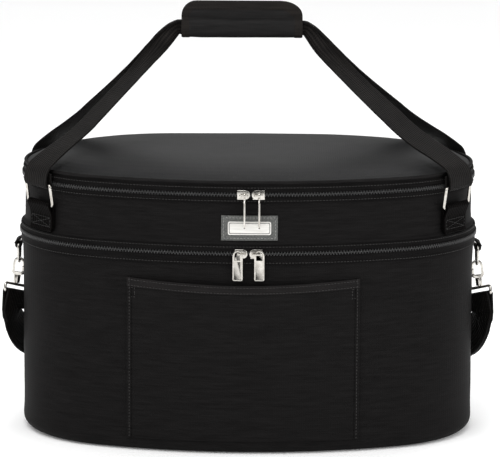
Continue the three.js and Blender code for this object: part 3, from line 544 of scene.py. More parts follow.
def merged_copy(node: str, name: str) -> Piece:
    """A copy of a frame node with its loose triangles merged and its flat faces joined.

    Args:
        node: The frame node.
        name: The copy's name.

    Returns:
        The new piece.
    """
    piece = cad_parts[node].copy()
    piece.data = piece.data.copy()
    piece.name = name
    piece.parent = None
    for key in list(piece.keys()):
        del piece[key]
    bpy.context.scene.collection.objects.link(piece)
    piece.hide_render = piece.hide_viewport = False
    return edited(piece, merge, lambda: bpy.ops.mesh.dissolve_limited(angle_limit=math.radians(1.0)))


def in_scene(name: str, data: bpy.types.ID) -> Piece:
    """A new object in the scene that holds a mesh, a curve, a lamp or a camera.

    Args:
        name: The object's name.
        data: What it holds.

    Returns:
        The object.
    """
    piece = bpy.data.objects.new(name, data)
    bpy.context.scene.collection.objects.link(piece)
    return piece


def repeated(name: str, pattern: Piece, places: Sequence[Matrix]) -> Piece:
    """Copies a small piece to many places as one mesh, and removes the pattern.

    Args:
        name: The new piece's name.
        pattern: The piece to copy, modelled in millimetres about the origin.
        places: Where each copy goes, in millimetres.

    Returns:
        The new piece.
    """
    points = [vertex.co.copy() for vertex in pattern.data.vertices]
    faces = [tuple(polygon.vertices) for polygon in pattern.data.polygons]
    mesh = bpy.data.meshes.new(name)
    mesh.from_pydata(
        [(place @ point) * MM for place in places for point in points], [],
        [tuple(i + copy * len(points) for i in face) for copy in range(len(places)) for face in faces],
    )
    mesh.update()
    bpy.data.objects.remove(pattern)
    return in_scene(name, mesh)


def axes(x: Vector, y: Vector, z: Vector, origin: Sequence[float]) -> Matrix:
    """A place by its three ways and its origin.

    Args:
        x: Its first way.
        y: Its second way.
        z: Its third way.
        origin: Its origin.

    Returns:
        The place as a matrix.
    """
    place = Matrix((x, y, z)).transposed().to_4x4()
    place.translation = origin
    return place


@dataclass(frozen=True)
class OvalPlan:
    """The oval of the bag: two long arcs and two round ends, met smoothly."""

    half_length: float = 225.0
    half_depth: float = 140.0
    end_radius: float = 118.0

    @property
    def long_radius(self) -> float:
        """Radius of the front and back arcs."""
        flat = self.half_length - self.end_radius
        return (flat**2 + self.half_depth**2 - self.end_radius**2) / (2 * (self.half_depth - self.end_radius))

    @property
    def long_half_turn(self) -> float:
        """Turn at which the front arc gives way to the round end."""
        flat = self.half_length - self.end_radius
        return math.degrees(math.atan2(flat, self.long_radius - self.half_depth))

    @property
    def long_part(self) -> float:
        """Length of the wall from the middle of the front to the round end."""
        return math.radians(self.long_half_turn) * self.long_radius

    @property
    def half_lap(self) -> float:
        """Length of the wall from the middle of the front to the middle of the back."""
        return 2 * (self.long_part + math.radians(90 - self.long_half_turn) * self.end_radius)

    def normal(self, turn: float) -> Vector:
        """The way out of the wall at a turn."""
        return Vector((math.sin(math.radians(turn)), -math.cos(math.radians(turn)), 0))

    def along(self, turn: float) -> Vector:
        """The way along the wall at a turn, towards larger turns."""
        return Vector((math.cos(math.radians(turn)), math.sin(math.radians(turn)), 0))

    def point(self, turn: float, out: float, z: float) -> Vector:
        """A point by its turn, its distance out of the body's wall and its height.

        Args:
            turn: Direction round the oval in degrees.
            out: Millimetres outside the wall, negative inside.
            z: Height in millimetres.

        Returns:
            The point in millimetres.
        """
        near = abs((turn + 540) % 360 - 180)
        side = math.copysign(1, math.sin(math.radians(turn)))
        centre, radius = Vector((side * (self.half_length - self.end_radius), 0, 0)), self.end_radius
        if near <= self.long_half_turn:
            centre, radius = Vector((0, self.long_radius - self.half_depth, 0)), self.long_radius
        elif near >= 180 - self.long_half_turn:
            centre, radius = Vector((0, self.half_depth - self.long_radius, 0)), self.long_radius
        place = centre + self.normal(turn) * (radius + out)
        return Vector((place.x, place.y, z))

    def turn_at(self, distance: float) -> float:
        """The turn in degrees at a distance in millimetres along the wall from the middle of the front.

        Args:
            distance: The distance in millimetres.

        Returns:
            The turn.
        """
        lap, rest = divmod(distance, self.half_lap)
        short = min(rest, self.half_lap - rest)
        if short <= self.long_part:
            turn = math.degrees(short / self.long_radius)
        else:
            turn = self.long_half_turn + math.degrees((short - self.long_part) / self.end_radius)
        return lap * 180 + (turn if rest <= self.half_lap / 2 else 180 - turn)

    def distance_at(self, turn: float) -> float:
        """The distance along the wall from the middle of the front to a turn.

        Args:
            turn: The turn in degrees.

        Returns:
            The distance in millimetres.
        """
        lap, rest = divmod(turn, 180)
        near = min(rest, 180 - rest)
        long_part = math.radians(min(near, self.long_half_turn)) * self.long_radius
        short = long_part + math.radians(max(near - self.long_half_turn, 0)) * self.end_radius
        return lap * self.half_lap + (short if rest <= 90 else self.half_lap - short)

    def front_turn(self, x: float) -> float:
        """The turn of the front wall at a sideways distance."""
        return math.degrees(math.asin(x / self.long_radius))


OVAL = OvalPlan()


@dataclass(frozen=True)
class WallSheet:
    """A sheet that follows the oval between two distances along it, with a section of its own."""

    start: float
    end: float

    def build(self, name: str, section: Sequence[Pair], step: float, shape: Shape | None = None) -> Piece:
        """Lays the sheet.

        Args:
            name: The piece's name.
            section: Its section from its lower inner edge outwards, as (out, z) in millimetres.
            step: Millimetres between points along the oval.
            shape: Moves a point, given its distance, its share of the section, its out and its z.

        Returns:
            The new piece, a single skin whose faces look outwards for a section that runs upwards.
        """
        lengths = [*accumulate(map(math.dist, section, section[1:]), initial=0.0)]

        def place(u: float, v: float) -> Vector:
            """A point of the sheet.

            Args:
                u: Its share of the way along.
                v: Its share of the way across.

            Returns:
                The point in millimetres.
            """
            distance = mix(self.start, self.end, u)
            index = round(v * (len(section) - 1))
            out, z = section[index]
            if shape:
                out, z = shape(distance, lengths[index] / lengths[-1], out, z)
            return OVAL.point(OVAL.turn_at(distance), out, z)

        columns = max(2, round((self.end - self.start) / step))
        return laid_grid(name, columns, len(section) - 1, place, (self.end - self.start, lengths[-1]))


LAP = WallSheet(-OVAL.half_lap, OVAL.half_lap)


def fine_section(corners: Sequence[Pair], step: float) -> list[Pair]:
    """Adds points to a section so that none of its steps is longer than a limit.

    Args:
        corners: The section's corners.
        step: The limit of its steps in millimetres.

    Returns:
        All its points.
    """
    points = [corners[0]]
    for start, end in zip(corners, corners[1:]):
        count = max(1, math.ceil(math.dist(start, end) / step))
        points += [
            (mix(start[0], end[0], i / count), mix(start[1], end[1], i / count))
            for i in range(1, count + 1)
        ]
    return points


def arc_section(out: float, z: float, radius: float, start: float, end: float, count: int) -> list[Pair]:
    """Points on an arc of a section, with angles from the way out and turning upwards."""
    angles = [math.radians(mix(start, end, i / count)) for i in range(count + 1)]
    return [(out + radius * math.cos(a), z + radius * math.sin(a)) for a in angles]


def box_section(out: float, low: float, thickness: float, high: float) -> list[Pair]:
    """A closed upright section, from its outer face inwards."""
    inner = out - thickness
    return [(out, low), (out, high), (inner, high), (inner, low), (out, low)]


def slubbed(distance: float, z: float, size: float, depth: float) -> float:
    """An unevenness of cloth over padding.

    Args:
        distance: Millimetres along the oval.
        z: Height in millimetres.
        size: Size of the waves in millimetres.
        depth: The most that they stand out.

    Returns:
        Millimetres out of the wall, from minus to plus the depth.
    """
    spot = OVAL.along(OVAL.turn_at(distance)) * 150
    return depth * noise.noise(Vector((spot.x / size, spot.y / size, z / size)))


def oval_plate(name: str, inset: float, low: float, high: float, edge: float) -> Piece:
    """A flat plate with the bag's plan.

    Args:
        name: The piece's name.
        inset: Millimetres inside the wall.
        low: Height of its underside.
        high: Height of its top.
        edge: Radius of its rounded edge.

    Returns:
        The new piece.
    """
    select_only()
    bpy.ops.mesh.primitive_cylinder_add(vertices=168, radius=1, depth=1, end_fill_type="NGON")
    plate = bpy.context.object
    plate.name = name
    for vertex in plate.data.vertices:
        distance = math.atan2(vertex.co.x, -vertex.co.y) / math.pi * OVAL.half_lap
        vertex.co = OVAL.point(OVAL.turn_at(distance), -inset, high if vertex.co.z > 0 else low) * MM
    return rounded(plate, edge)


@dataclass(frozen=True)
class Station:
    """A place on a strap: its middle, the way across it, its width and its thickness in millimetres."""

    middle: Vector
    across: Vector
    width: float = 38.0
    thickness: float = 1.6

    def over(self, axis: int) -> "Station":
        """Its mirror image, with the other sign on one axis."""
        flip = Matrix.Diagonal([-1 if i == axis else 1 for i in range(3)])
        return Station(flip @ self.middle, flip @ self.across, self.width, self.thickness)


def curve_point(ends: Sequence[Vector], into: Vector, out_of: Vector, t: float) -> Vector:
    """A point of a smooth curve between two ends, with the ways it leaves one and reaches the other.

    Args:
        ends: The two ends.
        into: The way it leaves the first.
        out_of: The way it reaches the second.
        t: The point's share of the way.

    Returns:
        The point.
    """
    a, b = ends
    return (
        a * (2 * t**3 - 3 * t**2 + 1) + into * (t**3 - 2 * t**2 + t)
        + b * (3 * t**2 - 2 * t**3) + out_of * (t**3 - t**2)
    )


def finer(stations: Sequence[Station], parts: int) -> list[Station]:
    """Adds stations on a smooth curve through the given ones.

    Args:
        stations: Places along a strap.
        parts: How many steps each span is parted into.

    Returns:
        The old stations and the new ones between them.
    """
    added = []
    for i, (a, b) in enumerate(zip(stations, stations[1:])):
        before, after = stations[max(i - 1, 0)], stations[min(i + 2, len(stations) - 1)]
        span = (b.middle - a.middle).length
        into = (b.middle - before.middle).normalized() * span
        out_of = (after.middle - a.middle).normalized() * span
        for t in (k / parts for k in range(parts)):
            added.append(Station(
                curve_point((a.middle, b.middle), into, out_of, t), a.across.lerp(b.across, t).normalized(),
                mix(a.width, b.width, t), mix(a.thickness, b.thickness, t),
            ))
    return [*added, stations[-1]]


def strap_skin(name: str, stations: Sequence[Station], columns: int,
               profile: Callable[[int, float, Vector], Pair]) -> Piece:
    """Lays a single skin along a strap.

    Args:
        name: The piece's name.
        stations: Places along it, in order.
        columns: Faces across it.
        profile: Gives a point's millimetres across the strap and off its face, for the number of the station,
            the share of the width and the way off the face.

    Returns:
        The new piece, with a UV map in millimetres.
    """
    last = len(stations) - 1

    def place(u: float, v: float) -> Vector:
        """A point of the skin.

        Args:
            u: Its share of the way along.
            v: Its share of the way across.

        Returns:
            The point in millimetres.
        """
        index = round(u * last)
        station = stations[index]
        along = (stations[min(index + 1, last)].middle - stations[max(index - 1, 0)].middle).normalized()
        across = (station.across - along * station.across.dot(along)).normalized()
        face = along.cross(across)
        aside, off = profile(index, v, face)
        return station.middle + across * aside + face * off

    return laid_grid(name, last, columns, place, (run_lengths(stations)[-1], 38.0))


def run_lengths(stations: Sequence[Station]) -> list[float]:
    """Millimetres along a strap to each of its stations."""
    return [*accumulate(((b.middle - a.middle).length for a, b in zip(stations, stations[1:])), initial=0.0)]


def webbing_strap(name: str, stations: Sequence[Station], columns: int = 10, ruffle: float = 0.12) -> Piece:
    """A flat woven strap through its stations, with soft rounded edges.

    Args:
        name: The piece's name.
        stations: Places along it, in order.
        columns: Faces across it.
        ruffle: The most that its face waves, in millimetres.

    Returns:
        The new piece, closed.
    """
    lengths = run_lengths(stations)
    last = len(stations) - 1
    lowest = min(station.width for station in stations)
    strap = strap_skin(name, stations, columns, lambda index, v, face: (
        (v - 0.5) * stations[index].width,
        ruffle * noise.noise(Vector((lengths[index] / 25, v * 1.5, lowest))),
    ))
    for corner in strap.data.uv_layers.active.data:
        corner.uv[0] = lengths[min(round(corner.uv[0] / lengths[-1] * last), last)]
    return rounded(thicken(strap, stations[0].thickness, 0.0), 0.35, 2, 50)


def wire(name: str, points: Sequence[Vector], radius: float, sides: int = 3) -> Piece:
    """A closed round wire through points, drawn as a curve and turned to a mesh.

    Args:
        name: The piece's name.
        points: Places in millimetres.
        radius: Radius of the wire.
        sides: The curve's bevel resolution.

    Returns:
        The new piece.
    """
    curve = bpy.data.curves.new(name, "CURVE")
    curve.dimensions = "3D"
    curve.bevel_depth = radius * MM
    curve.bevel_resolution = sides
    spline = curve.splines.new("POLY")
    spline.points.add(len(points) - 1)
    spline.use_cyclic_u = True
    for knot, point in zip(spline.points, points):
        knot.co = (*(point * MM), 1)
    select_only(in_scene(name, curve))
    bpy.ops.object.convert(target="MESH")
    return bpy.context.object


def rounded_rectangle(half_width: float, half_height: float, radius: float, steps: int = 6) -> list[Pair]:
    """Points round a rectangle with round corners, as (across, up) from its middle.

    Args:
        half_width: Half its width.
        half_height: Half its height.
        radius: Radius of its corners.
        steps: Steps round each corner.

    Returns:
        The points, in order.
    """
    points = []
    for sx, sy, start in ((1, 1, 0), (-1, 1, 90), (-1, -1, 180), (1, -1, 270)):
        middle = sx * (half_width - radius), sy * (half_height - radius)
        points += arc_section(*middle, radius, start, start + 90, steps)
    return points


def stitch_line(name: str, path: Sequence[Vector], face: Callable[[int], Vector], pitch: float = 3.2,
                thick: float = 0.7) -> Piece:
    """A line of sewn stitches along a path, each a small rounded thread on the cloth.

    Args:
        name: The piece's name.
        path: Places in millimetres, close together.
        face: Gives the way off the cloth at a number along the path.
        pitch: Millimetres from stitch to stitch.
        thick: Width of the thread.

    Returns:
        The new piece.
    """
    select_only()
    bpy.ops.mesh.primitive_uv_sphere_add(segments=8, ring_count=5, radius=0.5)
    thread = bpy.context.object
    for vertex in thread.data.vertices:
        vertex.co = Vector((vertex.co.z * 2.3, vertex.co.x * thick, vertex.co.y * thick * 0.8))
    places, covered, due = [], 0.0, pitch / 2
    for index, (a, b) in enumerate(zip(path, path[1:])):
        span = (b - a).length
        off = face(index)
        x = (b - a).normalized()
        y = off.cross(x).normalized()
        while due <= covered + span:
            places.append(axes(x, y, x.cross(y), a.lerp(b, (due - covered) / span) + off * 0.1))
            due += pitch
        covered += span
    return repeated(name, thread, places)


def walled(turn: float, out: float, z: float) -> Matrix:
    """A place on the wall: x along it, y into the bag, z up."""
    return axes(OVAL.along(turn), -OVAL.normal(turn), Vector((0, 0, 1)), OVAL.point(turn, out, z))


@dataclass
class LowerBody:
    """The padded lower section: wall with its rolled foot, bottom, board, padding and lining."""

    foot_roll: float = 12.0
    lift: float = 0.4
    top: float = 194.5
    wall: float = 0.9
    lining_out: float = -5.7
    lining_corner: float = 6.0
    floor: float = 4.7
    sag: float = 1.5

    def soft(self, distance: float, share: float, out: float, z: float) -> Pair:
        """Lets the padded wall wander inwards, away from what is sewn to it.

        Args:
            distance: Millimetres along the oval.
            share: The point's share of the section; not used.
            out: Its distance out of the wall.
            z: Its height.

        Returns:
            Its new distance out of the wall, and its height.
        """
        loose = ease((z - 2) / 30) * ease((self.top - 6 - z) / 25)
        wave = 0.5 - slubbed(distance, z, 70, 0.5) - slubbed(distance + 400, z * 2.2, 26, 0.16)
        return out - self.sag * loose * max(wave, 0.0), z

    def build(self) -> None:
        """Builds and dresses every piece of the section."""
        roll = arc_section(-self.foot_roll, self.lift + self.foot_roll, self.foot_roll, -90, 0, 7)
        rim = arc_section(-3.4, self.top - 2.6, 3.4, 0, 180, 8)
        section = [*roll, *fine_section([roll[-1], rim[0]], 5.0)[1:-1], *rim, (-6.9, self.top - 9)]
        shell = thicken(LAP.build("Lower wall", section, 5.0, self.soft), self.wall)
        dress(shell, Finish.CLOTH, "base", ["lower_shell"])
        bottom = oval_plate("Bottom panel", self.foot_roll + 0.2, 0.0, 1.4, 0.3)
        dress(bottom, Finish.CLOTH, "base", ["bottom_panel"])
        board = oval_plate("Base board", self.foot_roll + 0.3, 1.7, self.floor - 0.3, 0.5)
        dress(board, Finish.BOARD, "base", ["base_board"])
        pad = LAP.build("Wall padding", box_section(-3.0, 12.6, 2.2, self.top - 4), 12.0)
        dress(outward(pad), Finish.FOAM, "base", ["lower_foam"])
        self.build_lining()

    def build_lining(self) -> None:
        """Builds the lining as one pocket of cloth, wall and floor."""
        out, curve = self.lining_out, self.lining_corner
        corner = arc_section(out - curve, self.floor + curve, curve, -90, 0, 5)
        section = [*corner, *fine_section([corner[-1], (out, self.top - 8)], 9.0)[1:]]
        wall = LAP.build("Lining wall", section, 9.0, lambda distance, share, out, z: (
            out - 0.9 * ease(share * 6) * (0.5 + slubbed(distance, z, 38, 0.9)), z
        ))
        dress(thicken(wall, 0.6), Finish.LINING, "base", ["lower_lining"])
        floor = oval_plate("Lining floor", curve - out, self.floor, self.floor + 0.7, 0.25)
        dress(floor, Finish.LINING, "base")


@dataclass
class Pocket:
    """The slack pocket on the front, with its turned hem, its stitches and its corner tacks."""

    left: float = -117.0
    right: float = 109.0
    foot: float = 13.0
    height: float = 160.0
    slack: float = 5.6
    dip: float = 4.0
    hem: float = 9.0
    side_hem: float = 4.6
    seat: float = 0.3
    rows: int = 44

    def place(self, u: float, v: float, lift: float = 0.0) -> Vector:
        """A point of the pocket.

        Args:
            u: Its share of the way from left to right.
            v: Its share of the way up.
            lift: Its distance off the outer face.

        Returns:
            The point in millimetres.
        """
        bow = math.sin(math.pi * u)
        swell = self.slack * bow * math.sin(math.pi / 2 * v)
        creases = 0.45 * noise.noise(Vector((u * 7, v * 9, 3.3))) * bow * math.sin(math.pi * v)
        top = self.foot + self.height - self.dip * bow
        turn = OVAL.front_turn(mix(self.left, self.right, u))
        return OVAL.point(turn, self.seat + 1 + swell + creases + lift, mix(self.foot, top, v))

    def build(self) -> None:
        """Builds and dresses the panel, the hem and the turned sides."""
        wide = self.right - self.left
        share, turned = self.hem / self.height, self.side_hem / wide
        sheets = [
            ("Pocket panel", 56, self.rows, self.place, (wide, self.height), 0.9,
             Finish.CLOTH, ["pocket_panel"]),
            # The hem's lighter cloth is a painted highlight.
            ("Pocket hem", 56, 3, lambda u, v: self.place(u, 1 - share * (1 - v), 0.9), (wide, self.hem), 0.8,
             Finish.HEM_CLOTH, ["pocket_hem"]),
        ]
        sheets += [
            (f"Pocket side hem, {side}", 3, self.rows,
             lambda u, v, start=start: self.place(start + turned * u, v * (1 - share), 0.8),
             (self.side_hem, self.height), 0.7, Finish.CLOTH, [])
            for side, start in (("left", 0.0), ("right", 1 - turned))
        ]
        for *grid, thickness, finish, nodes in sheets:
            dress(rounded(thicken(laid_grid(*grid), thickness), 0.3, 2, 60), finish, "base", nodes)
        self.sew()

    def sew(self) -> None:
        """Sews two rows along the hem, one down each side and a tack at each upper corner."""
        steps = 90
        share = self.hem / self.height

        def squared(value: float) -> float:
            """A wave from 0 to 1 with flat ends, which turns a circle to a rounded square."""
            return 0.5 + 0.5 * max(-1, min(1, 1.6 * value))

        rows = [
            ("hem upper", lambda t: (t, 1 - share * 0.22), 0.95),
            ("hem lower", lambda t: (t, 1 - share * 0.85), 0.95),
            ("left side", lambda t: (0.012, t), 0.85),
            ("right side", lambda t: (0.988, t), 0.85),
        ]
        rows += [
            (f"{side} tack", lambda t, start=start: (
                start + 0.028 * squared(math.cos(t * math.tau)),
                1 - share * (1.1 + squared(math.sin(t * math.tau))),
            ), 0.1)
            for side, start in (("left", 0.006), ("right", 0.966))
        ]
        for title, track, lift in rows:
            path = [self.place(*track(0.004 + 0.992 * i / steps), lift) for i in range(steps + 1)]
            sewing = stitch_line(f"Stitches, pocket {title}", path, lambda i: OVAL.normal(0))
            dress(sewing, Finish.THREAD, "base")


@dataclass
class Closure:
    """Where two sections meet: a zipper round the front and sides, and a cloth hinge across the back."""

    title: str
    hinge: str
    height: float
    out: float
    down: float
    up: float
    bodies: tuple[str, str]
    end_turn: float = 168.4
    hinge_turn: float = 169.5
    hinge_lap: float = 10.6
    tape: float = 1.2
    pitch: float = 2.9
    half_gap: float = 0.8
    seat: float = 0.3

    @property
    def face(self) -> float:
        """Distance of the tapes' outer face from the body's wall."""
        return self.out + self.seat + self.tape

    def build(self) -> None:
        """Builds and dresses both sides of the zipper, and the hinge."""
        for side in (("lower", -1, self.down, self.bodies[0]), ("upper", 1, self.up, self.bodies[1])):
            self.lay_tape(*side)
            self.set_coil(*side)
            self.sew(*side)
        self.hang()

    def lay_tape(self, word: str, up: int, tape: float, body: str) -> None:
        """Lays one tape, thicker at the cord that carries its elements.

        Args:
            word: The side in words.
            up: -1 for the lower side and 1 for the upper one.
            tape: Height of the tape.
            body: The frame body it rides on.
        """
        far = OVAL.distance_at(self.end_turn)
        cord = [
            (self.face + math.sin(math.pi * t) ** 2, self.height + up * (self.half_gap + 0.2 + 2.2 * t))
            for t in (i / 6 for i in range(7))
        ]
        flat = [(self.face, cord[-1][1]), (self.face, self.height + up * tape)]
        section = [*cord, *fine_section(flat, 3.0)]
        sheet = WallSheet(-far, far).build(f"{self.title} zipper tape, {word}", section[::up], 5.0)
        node = f"{self.title.lower()}_zip_{word}_tape"
        dress(thicken(sheet, self.tape - 0.1), Finish.ZIP_TAPE, body, [node])

    def set_coil(self, word: str, up: int, tape: float, body: str) -> None:
        """Sets the coil's elements along a tape, each over the middle between two of the other side.

        Args:
            word: The side in words.
            up: -1 for the lower side and 1 for the upper one.
            tape: Height of the tape; not used.
            body: The frame body they ride on.
        """
        select_only()
        bpy.ops.mesh.primitive_cube_add(size=1)
        element = bpy.context.object
        element.scale = (1.15, 1.5, 2.7)
        bpy.ops.object.transform_apply(location=False, rotation=False, scale=True)
        modify(element, "BEVEL", width=0.42, segments=2)
        far = OVAL.distance_at(self.end_turn) - 3
        turns = [
            OVAL.turn_at(-far + (i + 0.5 + 0.25 * up) * self.pitch) for i in range(int(2 * far / self.pitch))
        ]
        places = [walled(turn, self.face + 0.75, self.height + up * 0.65) for turn in turns]
        dress(repeated(f"{self.title} zipper coil, {word}", element, places), Finish.TEETH, body)

    def sew(self, word: str, up: int, tape: float, body: str) -> None:
        """Sews a tape down near its far edge.

        Args:
            word: The side in words.
            up: -1 for the lower side and 1 for the upper one.
            tape: Height of the tape.
            body: The frame body that the stitches ride on.
        """
        far = OVAL.distance_at(self.end_turn) - 2
        turns = [OVAL.turn_at(mix(-far, far, i / 240)) for i in range(241)]
        path = [OVAL.point(turn, self.face, self.height + up * (tape - 1.6)) for turn in turns]
        name = f"Stitches, {self.title.lower()} zipper {word}"
        dress(stitch_line(name, path, lambda i: OVAL.normal(turns[i])), Finish.THREAD, body)

    def hang(self) -> None:
        """Builds the hinge as one cloth with a fold along its middle, lapped over the zipper's ends."""
        half = OVAL.half_lap - OVAL.distance_at(self.hinge_turn) + self.hinge_lap
        heights = [mix(self.height - self.down, self.height + self.up, i / 24) for i in range(25)]
        section = [(self.out + 1.5 - 0.7 * math.exp(-((z - self.height) / 1.6) ** 2), z) for z in heights]
        cloth = WallSheet(OVAL.half_lap - half, OVAL.half_lap + half).build(
            f"{self.hinge} hinge cloth", section, 5.0,
            lambda distance, share, out, z: (
                out + 0.25 * noise.noise(Vector((distance / 14, z / 9, 0)))
                + 1.6 * ease((abs(distance - OVAL.half_lap) - half + 4.5) / 2.5), z,
            ),
        )
        nodes = [f"{self.hinge.lower()}_hinge_{word}_flap" for word in ("lower", "upper")]
        dress(thicken(cloth, 1.0), Finish.BINDING, None, nodes)
        y = OVAL.point(180, self.out, self.height).y * MM
        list(self.bodies)
        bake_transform(cloth)


@dataclass
class UpperSection:
    """The flat accessory compartment that is the lid of the lower section too."""

    inset: float = 2.5
    foot: float = 205.5
    flange: float = 209.0
    shoulder: float = 212.0
    top: float = 252.0
    wall: float = 0.9
    floor: float = 211.1

    def build(self) -> None:
        """Builds and dresses the wall, the divider, the padding and the lining."""
        lip = arc_section(-0.9, self.foot + 0.9, 0.9, -120, 0, 4)
        slope = [
            (0.0, self.flange), (-0.5, self.flange + 1.0), (-1.9, self.shoulder - 0.8),
            (-self.inset, self.shoulder + 0.4),
        ]
        rim = arc_section(-self.inset - 3.2, self.top - 2.4, 3.2, 0, 180, 8)
        rise = fine_section([slope[-1], rim[0]], 4.0)[1:-1]
        section = [*lip, *slope, *rise, *rim, (-self.inset - 6.6, self.top - 8)]
        shell = LAP.build("Upper wall", section, 5.0, lambda distance, share, out, z: (
            out - ease((z - 214) / 8) * ease((250 - z) / 8) * (0.35 + slubbed(distance, z * 1.6, 45, 0.5)), z
        ))
        inner = -self.inset - 5.6
        lining = fine_section([(inner, self.floor), (inner, self.top - 6)], 6.0)
        for piece, finish, nodes in (
            (thicken(shell, self.wall), Finish.CLOTH, ["upper_shell"]),
            (oval_plate("Divider underside", 1.4, self.foot, self.foot + 1.0, 0.3), Finish.LINING,
             ["divider_underside"]),
            (oval_plate("Divider padding", 3.9, self.foot + 1.3, self.floor - 0.3, 0.8), Finish.FOAM,
             ["divider_foam"]),
            (outward(LAP.build("Upper padding", box_section(-5.4, 211.2, 2.3, self.top - 4), 12.0)),
             Finish.FOAM, ["upper_foam"]),
            (thicken(LAP.build("Upper lining wall", lining, 9.0), 0.7), Finish.LINING, ["upper_lining"]),
            (oval_plate("Upper lining floor", 0.8 - inner, self.floor, self.floor + 0.8, 0.3),
             Finish.LINING, []),
        ):
            dress(piece, finish, "upper_section", nodes)


@dataclass
class Label:
    """The grey patch on the front and the bare plate it carries."""

    x: float = 1.6
    z: float = 224.5
    width: float = 55.0
    height: float = 24.5
    plate_width: float = 42.0
    plate_height: float = 13.0
    out: float = -2.5
    sewn_in: float = 2.2

    def place(self, x: float, z: float, lift: float) -> Vector:
        """A point over the wall at a distance from the patch's middle."""
        return OVAL.point(OVAL.front_turn(self.x + x), self.out + lift, self.z + z)

    def build(self) -> None:
        """Builds and dresses the patch, its sewing and the plate."""
        half, tall = self.width / 2, self.height / 2

        def pressed(u: float, v: float) -> Vector:
            """A point of the patch, pressed in where it is sewn.

            Args:
                u: Its share of the way along.
                v: Its share of the way across.

            Returns:
                The point in millimetres.
            """
            border = min(u * self.width, (1 - u) * self.width, v * self.height, (1 - v) * self.height)
            lift = 1.3 - 0.25 * math.exp(-((border - self.sewn_in) / 0.7) ** 2)
            return self.place(mix(-half, half, u), mix(-tall, tall, v), lift)

        patch = thicken(laid_grid("Label patch", 40, 20, pressed), 0.9)
        dress(rounded(patch, 0.35, 3, 60), Finish.PATCH, "upper_section", ["label_patch"])
        corners = rounded_rectangle(half - self.sewn_in, tall - self.sewn_in, 1.0, 2)
        path = [self.place(x, z, 1.1) for x, z in fine_section([*corners, corners[0]], 1.5)]
        sewing = stitch_line("Stitches, label patch", path, lambda i: OVAL.normal(0), 3.3, 0.55)
        dress(sewing, Finish.PATCH_THREAD, "upper_section")
        for sheet in (
            ("Label plate frame", Finish.PLATE, 0.0, 1.6, 2.3, []),
            # The groove layer's grey is painted shade.
            ("Label plate groove", Finish.PLATE_RIM, 0.9, 1.7, 2.38, []),
            ("Label plate", Finish.PLATE, 1.8, 1.8, 2.6, ["label_plate"]),
        ):
            self.build_plate(*sheet)

    def build_plate(
        self, name: str, finish: Finish, inset: float, low: float, high: float, nodes: list[str]
    ) -> None:
        """Builds one layer of the plate: its bright frame, the painted shade of a groove in it or its bare
        bright face.

        Args:
            name: The layer's name.
            finish: Its finish.
            inset: Millimetres inside the plate's outline.
            low: Height of its back over the wall.
            high: Height of its face over the wall.
            nodes: The frame nodes it replaces.
        """
        wide, tall = self.plate_width / 2 - inset, self.plate_height / 2 - inset
        radius = 1.6 - 0.5 * inset

        def place(u: float, v: float) -> Vector:
            """A point of the layer, drawn in at its round corners.

            Args:
                u: Its share of the way along.
                v: Its share of the way across.

            Returns:
                The point in millimetres.
            """
            x, z = 2 * wide * (u - 0.5), 2 * tall * (v - 0.5)
            over_x, over_z = abs(x) - (wide - radius), abs(z) - (tall - radius)
            if over_x > 0 and over_z > 0:
                shrink = radius / max(math.hypot(over_x, over_z), radius)
                x = math.copysign(wide - radius + over_x * shrink, x)
                z = math.copysign(tall - radius + over_z * shrink, z)
            return self.place(x, z, high)

        plate = thicken(laid_grid(name, 24, 6, place), high - low)
        dress(rounded(plate, 0.2, 3, 60), finish, "upper_section", nodes)


@dataclass
class Lid:
    """The padded lid: its side band, its piping, its crowned top and the lining under it."""

    inset: float = 2.5
    foot: float = 263.0
    band_top: float = 267.8
    piping_out: float = -3.2
    piping_z: float = 268.8
    piping_radius: float = 1.7
    seam_z: float = 269.4
    crown: float = 16.0

    def build(self) -> None:
        """Builds and dresses every piece of the lid."""
        turned = arc_section(-self.inset - 1.0, self.foot + 1.0, 1.0, -90, 0, 3)
        section = [
            (-self.inset - 7, self.foot), *turned, (-self.inset, self.foot + 3.0),
            (-self.inset - 0.3, self.band_top),
        ]
        dress(thicken(LAP.build("Lid band", section, 5.0), 0.8), Finish.CLOTH, "lid", ["lid_band"])
        tube = LAP.build(
            "Lid piping", arc_section(self.piping_out, self.piping_z, self.piping_radius, -180, 180, 14), 4.0,
            lambda distance, share, out, z: (out + 0.08 * noise.noise(Vector((distance / 9, 0, 0))), z),
        )
        dress(outward(tube), Finish.PIPING, "lid", ["lid_piping"])
        # The top's cloth is painted lighter than the band's: painted light falling on the top.
        top = thicken(laid_grid("Lid top", 240, 30, self.crowned), 1.0)
        dress(top, Finish.LID_CLOTH, "lid", ["lid_top", "lid_foam"])
        lining = oval_plate("Lid lining", 9.0, self.foot - 0.1, self.foot + 0.8, 0.3)
        dress(lining, Finish.LINING, "lid", ["lid_lining"])
        turns = [OVAL.turn_at(mix(LAP.start, LAP.end, i / 400)) for i in range(401)]
        edge = [OVAL.point(turn, -self.inset, self.foot + 1.9) for turn in turns]
        dress(stitch_line("Stitches, lid band", edge, lambda i: OVAL.normal(turns[i])), Finish.THREAD, "lid")

    def crowned(self, u: float, v: float) -> Vector:
        """A point of the padded top, which dips where the piping is sewn to it.

        Args:
            u: Its share of the way round the oval.
            v: Its share of the way from the piping to the middle.

        Returns:
            The point in millimetres.
        """
        turn = OVAL.turn_at(mix(LAP.start, LAP.end, u))
        rim = OVAL.point(turn, self.piping_out - self.piping_radius * 0.75, 0)
        spot = rim * (1 - v) ** 1.6
        depth = (rim - spot).length
        quilt = 0.5 * noise.noise(Vector((spot.x / 60, spot.y / 60, 7))) * ease(depth / 30)
        spot.z = self.seam_z - 1.3 * math.exp(-depth / 3.5) + self.crown * (1 - math.exp(-depth / 33)) + quilt
        return spot


